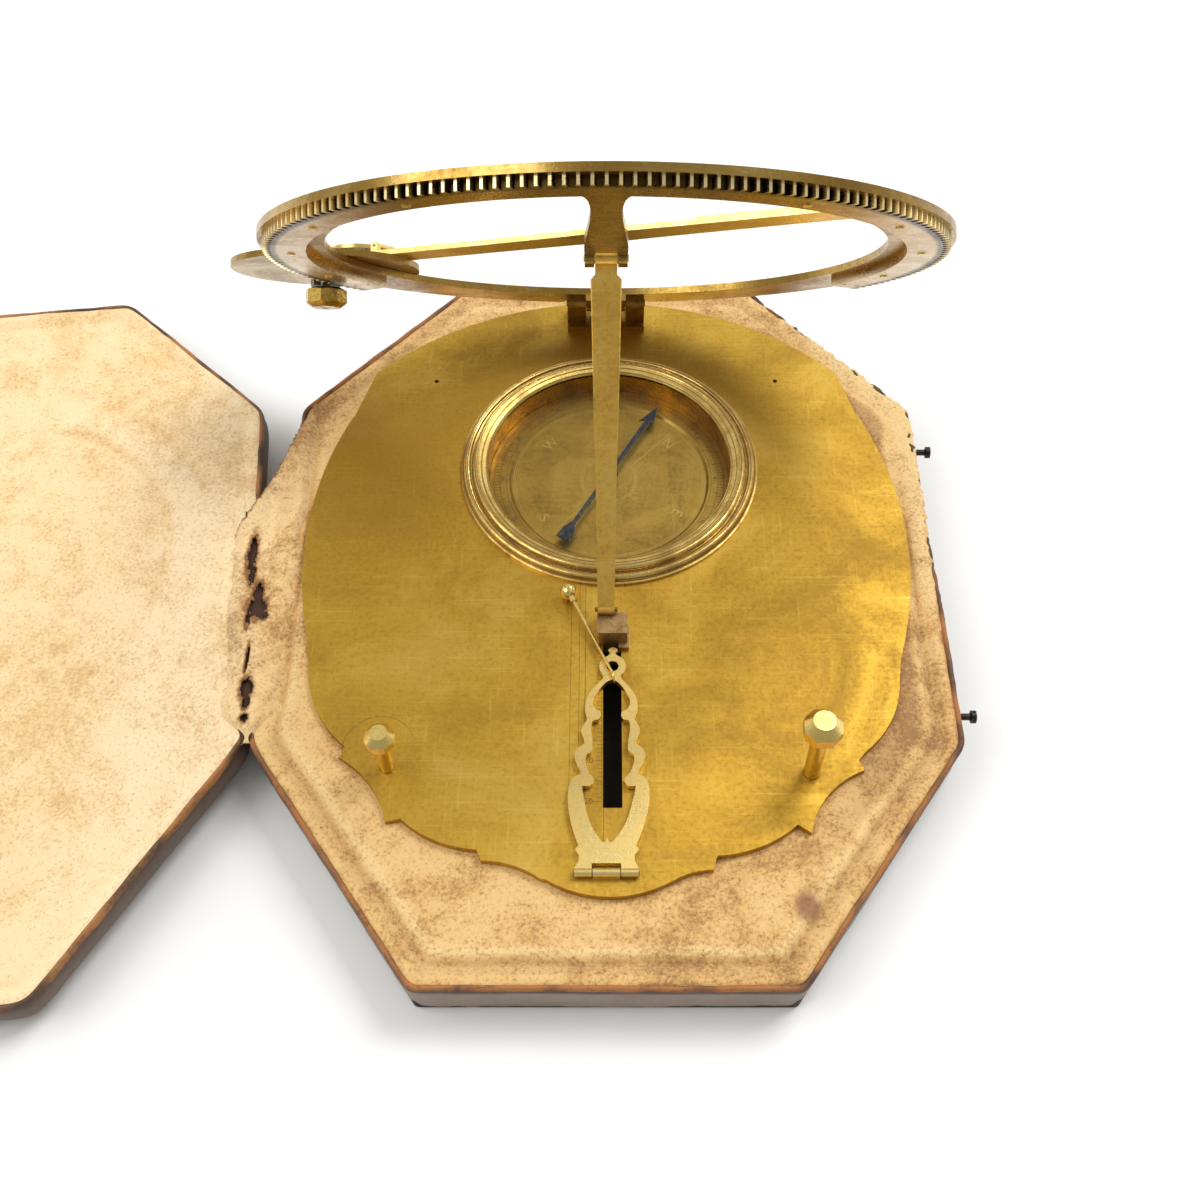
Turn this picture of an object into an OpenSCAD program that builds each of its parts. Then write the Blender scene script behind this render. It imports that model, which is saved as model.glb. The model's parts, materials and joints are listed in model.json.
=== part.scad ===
// Universal equatorial dial in its fitted leather case, lid thrown open to the left.
// Millimetres, +Z up. Origin at the middle of the case's underside, +Y is the dial's north.

/* [Case] */
// Half width of the case across its straight sides
case_half = 82; // [76:0.5:90]
// Half depth of the case, front to back
case_deep = 103.7; // [96:0.1:112]
// Half width of the straight front and back edges
case_end = 41; // [36:0.5:46]
// Where the side wall turns into the front slant
case_turn_front = -46; // [-52:0.5:-40]
// Where the side wall turns into the back slant
case_turn_back = 57; // [50:0.5:64]
// Height of the base, table to rim
case_height = 14; // [12:0.5:18]
// Thickness of the leather cover
leather = 1.2; // [0.8:0.1:2]
// Height of the lid's wall
lid_height = 9; // [7:0.5:12]
// Angle of the lid from closed, as it lies open
lid_open = 181.62; // [150:0.01:182]
// Slant of the lid's hinge line, seen from above
lid_slant = 2.5; // [0:0.1:4]
// Where the spine strip ends at the back
spine_back = 28; // [20:1:50]

/* [Base plate] */
// Thickness of the base plate
plate_thick = 1.8; // [1.4:0.1:2.4]
// Height of the plate's top face above the table
plate_top = 14.4; // [14:0.1:16]
// Width of the latitude slot
slot_wide = 4.3; // [3.6:0.1:5]
// Middle of the latitude slot, east of the centre line
slot_x = 1.4; // [0:0.1:1.6]
// Front end of the latitude slot
slot_front = -62.5; // [-66:0.5:-58]

/* [Compass] */
// Distance of the compass north of the origin
compass_y = 35.9; // [33:0.1:38]
// Distance of the compass east of the centre line
compass_x = 0.8; // [-1:0.1:1.5]
// Outer radius of the compass bezel
bezel_r = 38.4; // [38:0.1:41]
// Radius of the clear window
window_r = 31.2; // [30:0.1:33]
// Bearing of the needle, east of north
needle_bearing = 29.3; // [0:0.1:359]

/* [Hour ring] */
// Outer radius of the hour ring, six inches across
ring_r = 76.2; // [70:0.1:80]
// Inner radius of the hour ring's flange
ring_inner = 62; // [58:0.1:66]
// Thickness of the flange
flange_thick = 1.7; // [1.4:0.1:2.4]
// Slope of the ring as it stands
tilt = 51.33; // [9:0.01:54]
// Hinge line of the ring, north of the origin
hinge_y = 89.7; // [86:0.1:92]
// Hinge line of the ring above the plate
hinge_lift = 6.6; // [6:0.1:8]
// Teeth in a full turn of the ring
ring_teeth = 192; // [96:24:240]
// Tooth module
tooth_module = 0.775; // [0.7:0.005:0.8]
// Inner radius of the toothed plate
gear_inner = 65.95; // [64:0.05:70]
// Thickness of the toothed plate and its tongue
gear_thick = 2; // [1.6:0.1:2.4]

/* [Alidade and minute work] */
// Leaves of the pinion
leaves = 8; // [6:1:12]
// Angle of the pinion round the ring, as it stands
alidade_angle = 153.75; // [150:1.875:385]
// Radius of the minute dial
minute_r = 23; // [21:0.1:26]
// Underside of the index bar above the toothed plate
bar_lift = 3.3; // [3.1:0.1:4]
// Thickness of the index bar
bar_thick = 1.2; // [1:0.1:2]

/* [Strut, slider and bob] */
// Distance of the strut's joint from the ring's centre
strut_joint = 4.3; // [3:0.1:6]
// Width of the strut at its top
strut_top = 6.2; // [5:0.1:7]
// Width of the strut at its foot
strut_foot = 3.9; // [3:0.1:5]
// Height of the slider block above the plate
slider_high = 5.4; // [4:0.1:6]
// Hinge line of the bob bracket
bracket_y = -78.4; // [-80:0.1:-76]
// Thickness of the bob bracket
bracket_thick = 1.5; // [1.2:0.1:2]
// Angle of the bob's rod off north, as it lies
bob_angle = 24.2; // [18:0.05:26]

/* [Hidden] */
$fn = 48;
eps = 0.05;
plate_low = plate_top - plate_thick;
hinge_z = plate_top + hinge_lift;
ring_y = hinge_y - ring_r * cos(tilt);
ring_z = hinge_z + ring_r * sin(tilt);
joint_off = -gear_thick;
joint_y = ring_y - strut_joint * cos(tilt) + joint_off * sin(tilt);
joint_z = ring_z + strut_joint * sin(tilt) + joint_off * cos(tilt);
strut_long = sqrt(pow(hinge_y - joint_y, 2) + pow(joint_z - hinge_z, 2));
strut_slope = atan2(joint_z - hinge_z, hinge_y - joint_y);
foot_y = 2 * joint_y - hinge_y;
pitch_r = tooth_module * ring_teeth / 2;
pinion_r = tooth_module * leaves / 2;
pinion_out = pitch_r + pinion_r;
bar_top = bar_lift + bar_thick;
bracket_low = plate_top + 0.2;
bracket_z = plate_top + 1.2;
eye_y = -26.7;
bracket_lean = 0.029;
eye_x = (eye_y - bracket_y) * bracket_lean;
bob_y = -29.25;
bob_x = eye_x;
ball_r = 2.05;
ball_gap = 2.3;
bob_b = (bob_y - compass_y) * cos(bob_angle) - (bob_x - compass_x) * sin(bob_angle);
bob_c = pow(bob_x - compass_x, 2) + pow(bob_y - compass_y, 2) - pow(bezel_r + ball_r + ball_gap, 2);
bob_long = -bob_b - sqrt(pow(bob_b, 2) - bob_c);
vane_r = 6.5;
vane_lift = 1.45;
vane_out = pinion_out - 17.2;
slider_y = -13.9;
bob_z = bracket_low + bracket_thick / 2;
left_at = [-49.1, -52.5];
right_at = [46, -53.6];
brass = [0.78, 0.62, 0.28];
brass_dark = [0.62, 0.47, 0.2];
brass_pale = [0.87, 0.77, 0.47];
steel_blue = [0.16, 0.2, 0.32];
steel = [0.6, 0.6, 0.58];
hide = [0.24, 0.17, 0.13];
chamois = [0.78, 0.64, 0.46];
board = [0.55, 0.43, 0.3];

// The case outline moved in by t on every side.
function slant_in(x1, y1, x2, y2, t) =
    let (d = sqrt(pow(y2 - y1, 2) + pow(x1 - x2, 2)))
    let (nx = (y2 - y1) / d, ny = (x1 - x2) / d)
    let (k = nx * x1 + ny * y1 - t)
    [[x1 - t, (k - nx * (x1 - t)) / ny], [(k - ny * (y2 - t)) / nx, y2 - t]];
function mirror_x(pts) = [for (i = [len(pts) - 1:-1:0]) [-pts[i][0], pts[i][1]]];
function mirror_y(pts) = [for (p = pts) [p[0], -p[1]]];
function case_points(t) =
    let (back = slant_in(case_half, case_turn_back, case_end, case_deep, t))
    let (front = mirror_y(slant_in(case_half, -case_turn_front, case_end, case_deep, t)))
    let (right = [front[1], front[0], back[0], back[1]])
    concat(right, mirror_x(right));

// A corner rounded by n short steps of radius r.
function turn_at(a, b, c, r, n) =
    let (u = (a - b) / norm(a - b), v = (c - b) / norm(c - b))
    let (half = acos(u * v) / 2)
    let (m = b + (u + v) / norm(u + v) * r / sin(half))
    let (p = b + u * r / tan(half), q = b + v * r / tan(half))
    let (s = atan2(p[1] - m[1], p[0] - m[0]), e = atan2(q[1] - m[1], q[0] - m[0]))
    let (w = e - s > 180 ? e - s - 360 : e - s < -180 ? e - s + 360 : e - s)
    [for (i = [0:n]) m + r * [cos(s + w * i / n), sin(s + w * i / n)]];
function rounded(pts, r, n) =
    let (k = len(pts))
    [for (i = [0:k - 1]) each turn_at(pts[(i + k - 1) % k], pts[i], pts[(i + 1) % k], r, n)];
function arc(x, y, r, a, b, n) = [for (i = [0:n]) [x + r * cos(a + (b - a) * i / n), y + r * sin(a + (b - a) * i / n)]];
// A smooth line through hand-placed points.
function bend(p0, p1, p2, p3, t) =
    0.5 * (2 * p1 + (p2 - p0) * t + (2 * p0 - 5 * p1 + 4 * p2 - p3) * t * t + (3 * p1 - p0 - 3 * p2 + p3) * t * t * t);
function smooth(p, n) =
    let (k = len(p) - 1)
    concat([for (i = [0:k - 1]) for (j = [0:n - 1])
        bend(p[max(i - 1, 0)], p[i], p[i + 1], p[min(i + 2, k)], j / n)], [p[k]]);

module case_plan(t, r = 1.5) {
    polygon(rounded(case_points(t), r, 4));
}

module wells(low, grow) {
    translate([compass_x, compass_y, low]) cylinder(h = 20, r = 33.4 + grow, $fn = 96);
    for (p = [left_at, right_at]) translate([p[0], p[1], low]) cylinder(h = 20, r = 4.4 + grow);
    translate([0, hinge_y - 12, low]) cylinder(h = 20, r = 4.2 + grow);
    translate([slot_x - 4.5 - grow, slot_front - 1, low]) cube([9 + 2 * grow, 54, 20]);
}

// Wooden block of the base, hollowed for the bowl, the screws' feet and the clamp.
module case_core() {
    color(board) difference() {
        translate([0, 0, 1]) linear_extrude(height = 10) case_plan(leather + eps);
        wells(4.6, 0.8);
    }
}

// Leather over the base: four-square walls and a thin underside.
module case_leather() {
    color(hide) difference() {
        linear_extrude(height = case_height) case_plan(0);
        translate([0, 0, 1]) linear_extrude(height = case_height) case_plan(leather);
    }
}

// Chamois pad with a raised soft roll inside the rim.
module case_lining() {
    color(chamois) difference() {
        union() {
            translate([0, 0, 11]) linear_extrude(height = plate_low - 11) case_plan(leather + eps);
            translate([0, 0, 12]) linear_extrude(height = 1.3) difference() {
                case_plan(leather + eps);
                case_plan(6);
            }
        }
        wells(10, 0);
    }
}

// Half of the leather spine on the base side of the slanted hinge line.
module spine_base() {
    color(hide) translate([-case_half, case_turn_front, case_height - 1.6]) linear_extrude(height = 1.6)
        polygon([[-0.15, 8], [-0.15, spine_back - case_turn_front],
            [-(spine_back - case_turn_front) * tan(lid_slant) + 0.15, spine_back - case_turn_front],
            [-8 * tan(lid_slant) + 0.15, 8]]);
}

// Two headed pins in the right wall that the lid's hooks catch.
module hook_pins() {
    color(steel) for (y = [42.5, -38]) translate([case_half, y, 12]) rotate([0, 90, 0]) {
        cylinder(h = 3, r = 0.8);
        translate([0, 0, 2.2]) cylinder(h = 1.1, r = 1.5);
    }
}

module lid_place() {
    translate([-case_half, case_turn_front, case_height]) rotate([0, 0, lid_slant]) rotate([0, -lid_open, 0])
        rotate([0, 0, -lid_slant]) translate([case_half, -case_turn_front, 0]) children();
}

// Board of the lid, drawn shut over the base and swung open.
module lid_core() {
    color(board) lid_place() translate([0, 0, 3.2]) linear_extrude(height = lid_height - 4.2) case_plan(0.4 + leather + eps, 8);
}

// Leather over the lid.
module lid_leather() {
    color(hide) lid_place() difference() {
        linear_extrude(height = lid_height) case_plan(0.4, 9);
        translate([0, 0, -1]) linear_extrude(height = lid_height) case_plan(0.4 + leather, 8);
    }
}

// Pale chamois pad of the lid with a soft roll at its edge.
module lid_lining() {
    color(chamois) lid_place() {
        translate([0, 0, 1]) linear_extrude(height = 2.2) case_plan(0.4 + leather + eps, 8);
        translate([0, 0, 0.3]) linear_extrude(height = 1) difference() {
            case_plan(0.4 + leather + eps, 8);
            case_plan(7, 5);
        }
    }
}

// Half of the leather spine on the lid side of the hinge line.
module spine_lid() {
    color(hide) lid_place() translate([-case_half, case_turn_front, 0]) linear_extrude(height = 1.6)
        polygon([[0.35, 9], [0.35, spine_back - case_turn_front],
            [-(spine_back - case_turn_front) * tan(lid_slant) + 0.15, spine_back - case_turn_front],
            [-9 * tan(lid_slant) + 0.15, 9]]);
}

module lid_hook(y) {
    color(steel) lid_place() translate([case_half - 0.4, y, 4.5]) rotate([0, 90, 0]) {
        cylinder(h = 2.4, r = 1);
        translate([0, 0, 0.5]) linear_extrude(height = 1.2) difference() {
            union() {
                circle(r = 2.2);
                translate([-1.1, 0]) square([2.2, 6.5]);
                translate([0, 6.8]) circle(r = 1.9);
            }
            translate([0, 6.5]) circle(r = 0.9);
            translate([0, 5.6]) square([3, 1.8]);
        }
    }
}

// Swivelling catch near the front of the lid's free edge.
module lid_hook_front() {
    lid_hook(-38);
}

// Swivelling catch near the back of the lid's free edge.
module lid_hook_back() {
    lid_hook(42.5);
}

// The plate was cut by hand, so its two sides differ by a millimetre or two.
function plate_back() = concat(
    arc(-34.7, 12, 110, -15.5, 21.2, 14),
    [[66.9, 53.6], [64.4, 62.6]],
    arc(0, 11, 85.4, 43, 90, 16));
function plate_east() = concat(
    arc(0.8, -57.3, 26, 270, 300, 7),
    arc(23, -93.5, 16.4, 122, 90, 6),
    [[23.8, -74.2]],
    arc(22.5, -45, 28.9, 273, 312, 9),
    arc(65.4, -72.9, 21.2, 168, 111, 9),
    [[56.8, -50.6]],
    arc(41.5, -27.5, 27, 309, 355, 11),
    [[69.4, -24]],
    plate_back());
function plate_west() = concat(
    arc(-0.8, -57.3, 26, 270, 302, 7),
    arc(27, -97, 22, 126, 90, 7),
    [[28.1, -72.5]],
    arc(26.4, -45, 27.5, 274, 313, 9),
    arc(72.8, -71.5, 25, 167, 120, 9),
    [[59.2, -48.4]],
    arc(40, -24, 30, 310, 357, 12),
    plate_back());

// Shaped brass plate with the latitude slot and the compass opening.
module base_plate() {
    color(brass) translate([0, 0, plate_low]) linear_extrude(height = plate_thick) difference() {
        polygon(concat(plate_east(), mirror_x(plate_west())));
        translate([compass_x, compass_y]) circle(r = 32.2, $fn = 96);
        translate([slot_x - slot_wide / 2, slot_front]) square([slot_wide, 52]);
        translate(left_at) circle(r = 1.6);
        translate(right_at) circle(r = 2);
        for (p = [[-46, 66], [46, 66]]) translate(p) circle(r = 0.6);
    }
}

// Drawn brass bowl hung in the plate by its lip.
module compass_bowl() {
    color(brass_dark) translate([compass_x, compass_y, 0]) rotate_extrude($fn = 96)
        polygon([[0, 6.9], [32.1, 6.9], [32.1, plate_top], [33, plate_top], [33, plate_top + 0.6],
            [31.5, plate_top + 0.6], [31.5, 7.7], [0, 7.7]]);
}

// Engraved compass card, raised degree ring round a sunk middle.
module compass_card() {
    color(brass_pale) translate([compass_x, compass_y, 0]) rotate_extrude($fn = 96)
        polygon([[0, 7.7], [31.4, 7.7], [31.4, 9.3], [26.2, 9.3], [25.6, 8.7], [0, 8.7]]);
}

// Steel point that the needle turns on.
module compass_pivot() {
    color(steel) translate([compass_x, compass_y, 8.7]) {
        cylinder(h = 0.5, r = 1.3);
        cylinder(h = 2, r1 = 0.8, r2 = 0.45);
        translate([0, 0, 2]) cylinder(h = 0.7, r1 = 0.45, r2 = 0.15);
    }
}

// Flat window laid on the bowl's lip.
module compass_glass() {
    color([0.8, 0.86, 0.86, 0.35]) translate([compass_x, compass_y, plate_top + 0.6]) cylinder(h = 1, r = 33, $fn = 96);
}

// Turned bezel: flat outer land, two beads and a cove, lip over the window.
module compass_bezel() {
    color(brass) translate([compass_x, compass_y, plate_top]) rotate_extrude($fn = 96) difference() {
        union() {
            polygon([[33.05, 0], [bezel_r, 0], [bezel_r, 0.7], [37.9, 0.9], [37.6, 1.2], [33.9, 1.2],
                [33.9, 2.6], [window_r + 0.3, 2.0], [window_r, 1.6], [33.05, 1.6]]);
            translate([36.7, 1.3]) circle(r = 0.95, $fn = 24);
            translate([34.3, 1.9]) circle(r = 0.9, $fn = 24);
        }
        translate([35.55, 1.9]) circle(r = 0.55, $fn = 24);
        translate([30, -3]) square([12, 3]);
        translate([30, -1]) square([3.05, 2.6]);
    }
}

// Blued needle with an arrow at the north end and a paddle at the south.
module needle() {
    color(steel_blue) translate([compass_x, compass_y, 10.7]) rotate([0, 0, -needle_bearing]) difference() {
        union() {
            linear_extrude(height = 0.4) polygon([[0, 27.2], [2.1, 20.4], [0.75, 21.6], [0.6, 0], [0.55, -18],
                [1.7, -21], [1.9, -24.2], [-1.9, -24.2], [-1.7, -21], [-0.55, -18], [-0.6, 0], [-0.75, 21.6], [-2.1, 20.4]]);
            cylinder(h = 0.4, r = 2.4);
        }
        translate([0, 0, -1]) cylinder(h = 3, r = 0.8);
    }
}

// Brass cap on the needle with a blind socket for the point.
module needle_cap() {
    color(brass) translate([compass_x, compass_y, 0]) difference() {
        union() {
            translate([0, 0, 10.4]) cylinder(h = 1, r = 0.79);
            translate([0, 0, 11.1]) cylinder(h = 0.5, r = 2);
            translate([0, 0, 11.5]) cylinder(h = 0.9, r1 = 1.9, r2 = 0.5);
        }
        translate([0, 0, 10]) cylinder(h = 1.6, r = 0.55);
    }
}

// Two standing knuckles for the ring, on one foot.
module hinge_block() {
    color(brass) difference() {
        union() {
            translate([-10.6, hinge_y - 4.6, plate_top]) cube([21.2, 8.6, 1.8]);
            for (s = [-1, 1]) translate([s * 8.05 - 2.55, hinge_y, 0]) {
                translate([0, -2.6, plate_top]) cube([5.1, 5.2, hinge_lift]);
                translate([0, 0, hinge_z]) rotate([0, 90, 0]) cylinder(h = 5.1, r = 2.6);
            }
        }
        translate([-12, hinge_y, hinge_z]) rotate([0, 90, 0]) cylinder(h = 24, r = 1);
        for (x = [-2.8, 2.8]) translate([x, hinge_y - 0.3, plate_top - 1]) cylinder(h = 4, r = 0.8);
    }
}

// Slotted screws that hold the hinge foot down.
module hinge_screws() {
    color(brass_pale) for (x = [-2.8, 2.8]) translate([x, hinge_y - 0.3, 0]) difference() {
        union() {
            translate([0, 0, plate_top]) cylinder(h = 2, r = 0.8);
            translate([0, 0, plate_top + 1.8]) cylinder(h = 0.7, r = 1.5);
        }
        translate([-2, -0.2, plate_top + 2.1]) cube([4, 0.4, 1]);
    }
}

// Steel pin through the ring's knuckles.
module hinge_pin() {
    color(steel) translate([-10.9, hinge_y, hinge_z]) rotate([0, 90, 0]) cylinder(h = 21.8, r = 1);
}

module ring_place() {
    translate([0, ring_y, ring_z]) rotate([-tilt, 0, 0]) children();
}

// Flat hour ring, notched at its hinge.
module hour_ring() {
    color(brass) ring_place() linear_extrude(height = flange_thick) difference() {
        circle(r = ring_r, $fn = 144);
        circle(r = ring_inner, $fn = 144);
        translate([-11.3, ring_r - 3.1]) square([22.6, 6]);
        for (a = [151, 389]) rotate(a) for (r = [8.8, 5]) translate([ring_r - r, 0]) circle(r = 0.5, $fn = 20);
    }
}

tooth_step = 360 / ring_teeth;
gear_from = 78;
gear_to = 209;
// Toothed plate under the ring with the tongue that reaches in to the centre.
module gear_ring() {
    half = [[4.8, -67.5], [4.6, -66.2], [3.9, -64.6], [3.4, -62], [3.1, -58], [3, -52.5], [3.15, -46],
        [3.6, -37], [4.1, -28], [4.55, -21], [4.7, -17], [4.75, -12], [4.75, -2], [4.2, -0.2], [3, 1.2], [2.9, 2.4], [2.1, 3.7], [0.8, 4.3]];
    color(brass_dark) ring_place() {
        difference() {
            union() {
                translate([0, 0, -gear_thick]) linear_extrude(height = gear_thick) union() {
                    difference() {
                        polygon(concat(
                            [for (k = [gear_from:gear_to]) for (q = [[73.4, -0.68], [75.1, -0.3], [75.1, 0.3], [73.4, 0.68]])
                                let (a = k * tooth_step + q[1] / q[0] * 180 / PI + alidade_angle - 82 * tooth_step)
                                [q[0] * cos(a), q[0] * sin(a)]],
                            [for (k = [gear_to:-1:gear_from]) let (a = k * tooth_step) [gear_inner * cos(a), gear_inner * sin(a)]]));
                        for (a = [151, 389]) rotate(a) for (r = [67.4, 71.2]) translate([r, 0]) circle(r = 0.5, $fn = 20);
                    }
                    polygon(concat(half, mirror_x(half)));
                }
                for (s = [-1, 1]) translate([s * 3.7 - 1.05, -strut_joint, joint_off]) rotate([0, 90, 0]) cylinder(h = 2.1, r = 2);
            }
            translate([-2.65, -10.2, -6]) cube([5.3, 8.3, 10]);
            translate([-6, -strut_joint, joint_off]) rotate([0, 90, 0]) cylinder(h = 12, r = 0.8);
            translate([0, 0, -4]) cylinder(h = 6, r = 1.5);
        }
    }
}

// Leaf and middle knuckle that carry the ring on its hinge.
module ring_leaf() {
    color(brass) ring_place() difference() {
        union() {
            translate([-5.3, ring_inner - 1.5, -1.8]) cube([10.6, ring_r - ring_inner + 1.5, 1.8]);
            translate([-5.3, ring_r, 0]) rotate([0, 90, 0]) cylinder(h = 10.6, r = 2.4);
        }
        translate([-6, ring_r, 0]) rotate([0, 90, 0]) cylinder(h = 12, r = 1.05);
        translate([-6, ring_r - 3.1, 0]) cube([12, 0.6, 3]);
    }
}

// Rivet heads under the leaf and along the toothed plate.
module ring_rivets() {
    color(brass_pale) ring_place() {
        for (p = [[-3, 2.5], [3, 2.5], [0, 7.5]]) translate([p[0], ring_inner + p[1], -2.4]) cylinder(h = 0.6, r = 1);
        for (a = [163, 188, 213, 238, 302, 327, 352, 377]) rotate(a) translate([69.2, 0, -2.3]) cylinder(h = 0.3, r = 0.9);
    }
}

// Post, collar and screw head at the ring's centre.
module centre_pivot() {
    color(steel) ring_place() difference() {
        union() {
            translate([0, 0, -gear_thick]) cylinder(h = bar_top + gear_thick + 0.05, r = 1.5);
            cylinder(h = bar_lift - 0.05, r = 2.6);
            translate([0, 0, bar_top + 0.05]) cylinder(h = 0.9, r = 2.8);
        }
        translate([-4, -0.25, bar_top + 0.5]) cube([8, 0.5, 1]);
    }
}

// Pin through the tongue's lugs and the strut's eye.
module strut_pin() {
    color(brass_pale) ring_place() translate([-5, -strut_joint, joint_off]) rotate([0, 90, 0]) cylinder(h = 10, r = 0.8);
}

// Flat strut from the tongue down to the slider, rounded toe on the slider's top.
module strut() {
    half = [[2.45, 0], [2.45, -6.6], [strut_top / 2, -7.8], [strut_top / 2 - 0.1, -20],
        [strut_foot / 2 + 0.45, -50], [strut_foot / 2, -strut_long]];
    color(brass) translate([0, joint_y, joint_z]) rotate([strut_slope, 0, 0]) difference() {
        union() {
            translate([0, 0, -0.9]) linear_extrude(height = 1.8) polygon(concat(mirror_x(half), half));
            translate([-2.45, 0, 0]) rotate([0, 90, 0]) cylinder(h = 4.9, r = 2);
            translate([-strut_foot / 2, -strut_long, 0]) rotate([0, 90, 0]) cylinder(h = strut_foot, r = 1.16);
        }
        translate([-3, 0, 0]) rotate([0, 90, 0]) cylinder(h = 6, r = 0.85);
        translate([-3, -strut_long, 0]) rotate([0, 90, 0]) cylinder(h = 6, r = 0.55);
    }
}

// Steel pin in the strut's toe, a little proud each side.
module foot_pin() {
    color(steel) translate([-2.7, foot_y, hinge_z]) rotate([0, 90, 0]) cylinder(h = 5.4, r = 0.55);
}

// Latitude slider: block over the slot with a low rest for the strut's toe.
module slider() {
    color(brass_pale) difference() {
        union() {
            translate([slot_x, slider_y, plate_top + 0.05]) linear_extrude(height = slider_high - 0.05)
                polygon([[-3.1, -6], [3.6, -6], [3.6, 0], [-3.5, 0], [-3.5, -5.6]]);
            translate([-1.9, slider_y - 0.1, plate_top + 0.05]) cube([3.8, 2.6, slider_high - 0.05]);
            translate([slot_x + 3.5, slider_y - 6, plate_top + 0.05]) cube([0.5, 5.4, 1]);
            translate([slot_x + 1.5, slider_y - 7.4, plate_top + 0.05]) cube([2.5, 1.5, 1.3]);
            translate([slot_x - slot_wide / 2 + 0.06, slider_y - 5.9, plate_low - 0.5])
                cube([slot_wide - 0.12, 3.2, plate_thick + 1]);
        }
    }
}

// Clamp plate under the slot, screwed to the slider.
module slider_clamp() {
    color(brass_dark) {
        translate([slot_x - 4, slider_y - 6.4, plate_low - 1.9]) cube([8, 4.2, 1.4]);
        translate([slot_x, slider_y - 4.3, plate_low - 2.6]) cylinder(h = 0.8, r = 1.5);
    }
}

module bar_place() {
    ring_place() rotate([0, 0, alidade_angle]) children();
}

// Round dial of sixty minutes that rides on the flange.
module minute_dial() {
    color(brass_pale) bar_place() translate([pinion_out, 0, flange_thick + 0.1]) difference() {
        cylinder(h = bar_lift - flange_thick - 0.1, r = minute_r, $fn = 96);
        translate([0, 0, -1]) cylinder(h = 5, r = 1.06);
    }
}

// Index bar across the ring, wider at its middle.
module index_bar() {
    side = smooth([[-58, 4.6], [-40, 4.6], [-20, 4.8], [-6, 5.2], [0, 5.6], [6, 5.2], [20, 4.8], [45, 4.7], [pinion_out, 4.7]], 2);
    color(brass) bar_place() translate([0, 0, bar_lift]) difference() {
        union() {
            linear_extrude(height = bar_thick) polygon(concat(side, [for (i = [len(side) - 1:-1:0]) [side[i][0], -side[i][1]]]));
            translate([pinion_out, 0, 0]) cylinder(h = bar_thick, r = 4.7);
            for (e = [-1, 1]) translate([-58, e * 4.05 - 0.55, 0]) cube([2, 1.1, bar_thick + 1.2]);
        }
        translate([-57, -6, bar_thick + 0.65]) rotate([-90, 0, 0]) cylinder(h = 12, r = 0.25);
        translate([0, 0, -1]) cylinder(h = 5, r = 1.56);
        translate([pinion_out, 0, -1]) cylinder(h = 5, r = 1.06);
        for (x = [19.4, 13.5]) translate([pinion_out - x, 0, -1]) cylinder(h = 5, r = 0.7);
    }
}

// Screws from the bar into the minute dial.
module bar_screws() {
    color(steel) bar_place() for (x = [19.4, 13.5]) translate([pinion_out - x, 0, bar_lift]) difference() {
        union() {
            cylinder(h = bar_thick, r = 0.7);
            translate([0, 0, bar_thick]) cylinder(h = 0.6, r = 1.3);
        }
        translate([-2, -0.18, bar_thick + 0.3]) cube([4, 0.36, 1]);
    }
}

// Pin of the far vane.
module far_pin() {
    color(steel) bar_place() translate([-57, -4.7, bar_top + 0.65]) rotate([-90, 0, 0]) cylinder(h = 9.4, r = 0.25);
}

// Forked post on the index bar for the noon vane.
module vane_post() {
    color(brass) bar_place() difference() {
        for (s = [-1, 1]) translate([vane_out, s * 3.1 - 0.8, bar_top]) {
            translate([-0.9, 0, 0]) cube([1.8, 1.6, vane_lift]);
            translate([0, 0, vane_lift]) rotate([-90, 0, 0]) cylinder(h = 1.6, r = 0.9);
        }
        translate([vane_out, -6, bar_top + vane_lift]) rotate([-90, 0, 0]) cylinder(h = 12, r = 0.36);
    }
}

// Pin of the noon vane.
module vane_pin() {
    color(steel) bar_place() translate([vane_out, -4.1, bar_top + vane_lift]) rotate([-90, 0, 0])
        cylinder(h = 8.2, r = 0.36);
}

// Eight-leaved pinion in mesh with the ring, on its long arbor.
module pinion() {
    color(steel) bar_place() translate([pinion_out, 0, 0]) {
        translate([0, 0, -gear_thick - 0.1]) linear_extrude(height = gear_thick - 0.1) union() {
            circle(r = 1.9);
            for (k = [0:leaves - 1]) rotate(180 / leaves + k * 360 / leaves) {
                translate([0, -0.42]) square([3.43, 0.84]);
                translate([3.43, 0]) circle(r = 0.42, $fn = 16);
            }
        }
        translate([0, 0, -gear_thick - 2.6]) cylinder(h = bar_top + gear_thick + 3.8, r = 0.98);
    }
}

// Minute hand on the arbor's upper end.
module minute_hand() {
    color(steel_blue) bar_place() translate([pinion_out, 0, bar_top + 0.15]) rotate([0, 0, 20]) difference() {
        union() {
            linear_extrude(height = 0.5) polygon([[-5, -0.9], [0, -1.4], [9.6, -0.5], [10.6, -1.3], [13.8, 0],
                [10.6, 1.3], [9.6, 0.5], [0, 1.4], [-5, 0.9]]);
            cylinder(h = 1.1, r = 1.9);
        }
        translate([0, 0, -1]) cylinder(h = 4, r = 1);
    }
}

// Eight-sided turning knob under the ring.
module knob() {
    color(brass) bar_place() translate([pinion_out, 0, -gear_thick - 5.4]) difference() {
        intersection() {
            rotate([0, 0, 22.5]) cylinder(h = 4.8, r = 5.2, $fn = 8);
            union() {
                cylinder(h = 1.7, r1 = 3.4, r2 = 5.7);
                translate([0, 0, 1.7]) cylinder(h = 2.1, r = 5.7);
                translate([0, 0, 3.8]) cylinder(h = 1, r1 = 5.7, r2 = 3.9);
            }
        }
        translate([0, 0, 2.7]) cylinder(h = 4, r = 1);
        translate([0, 0, -1]) cylinder(h = 1.6, r = 0.8);
    }
}

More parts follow.
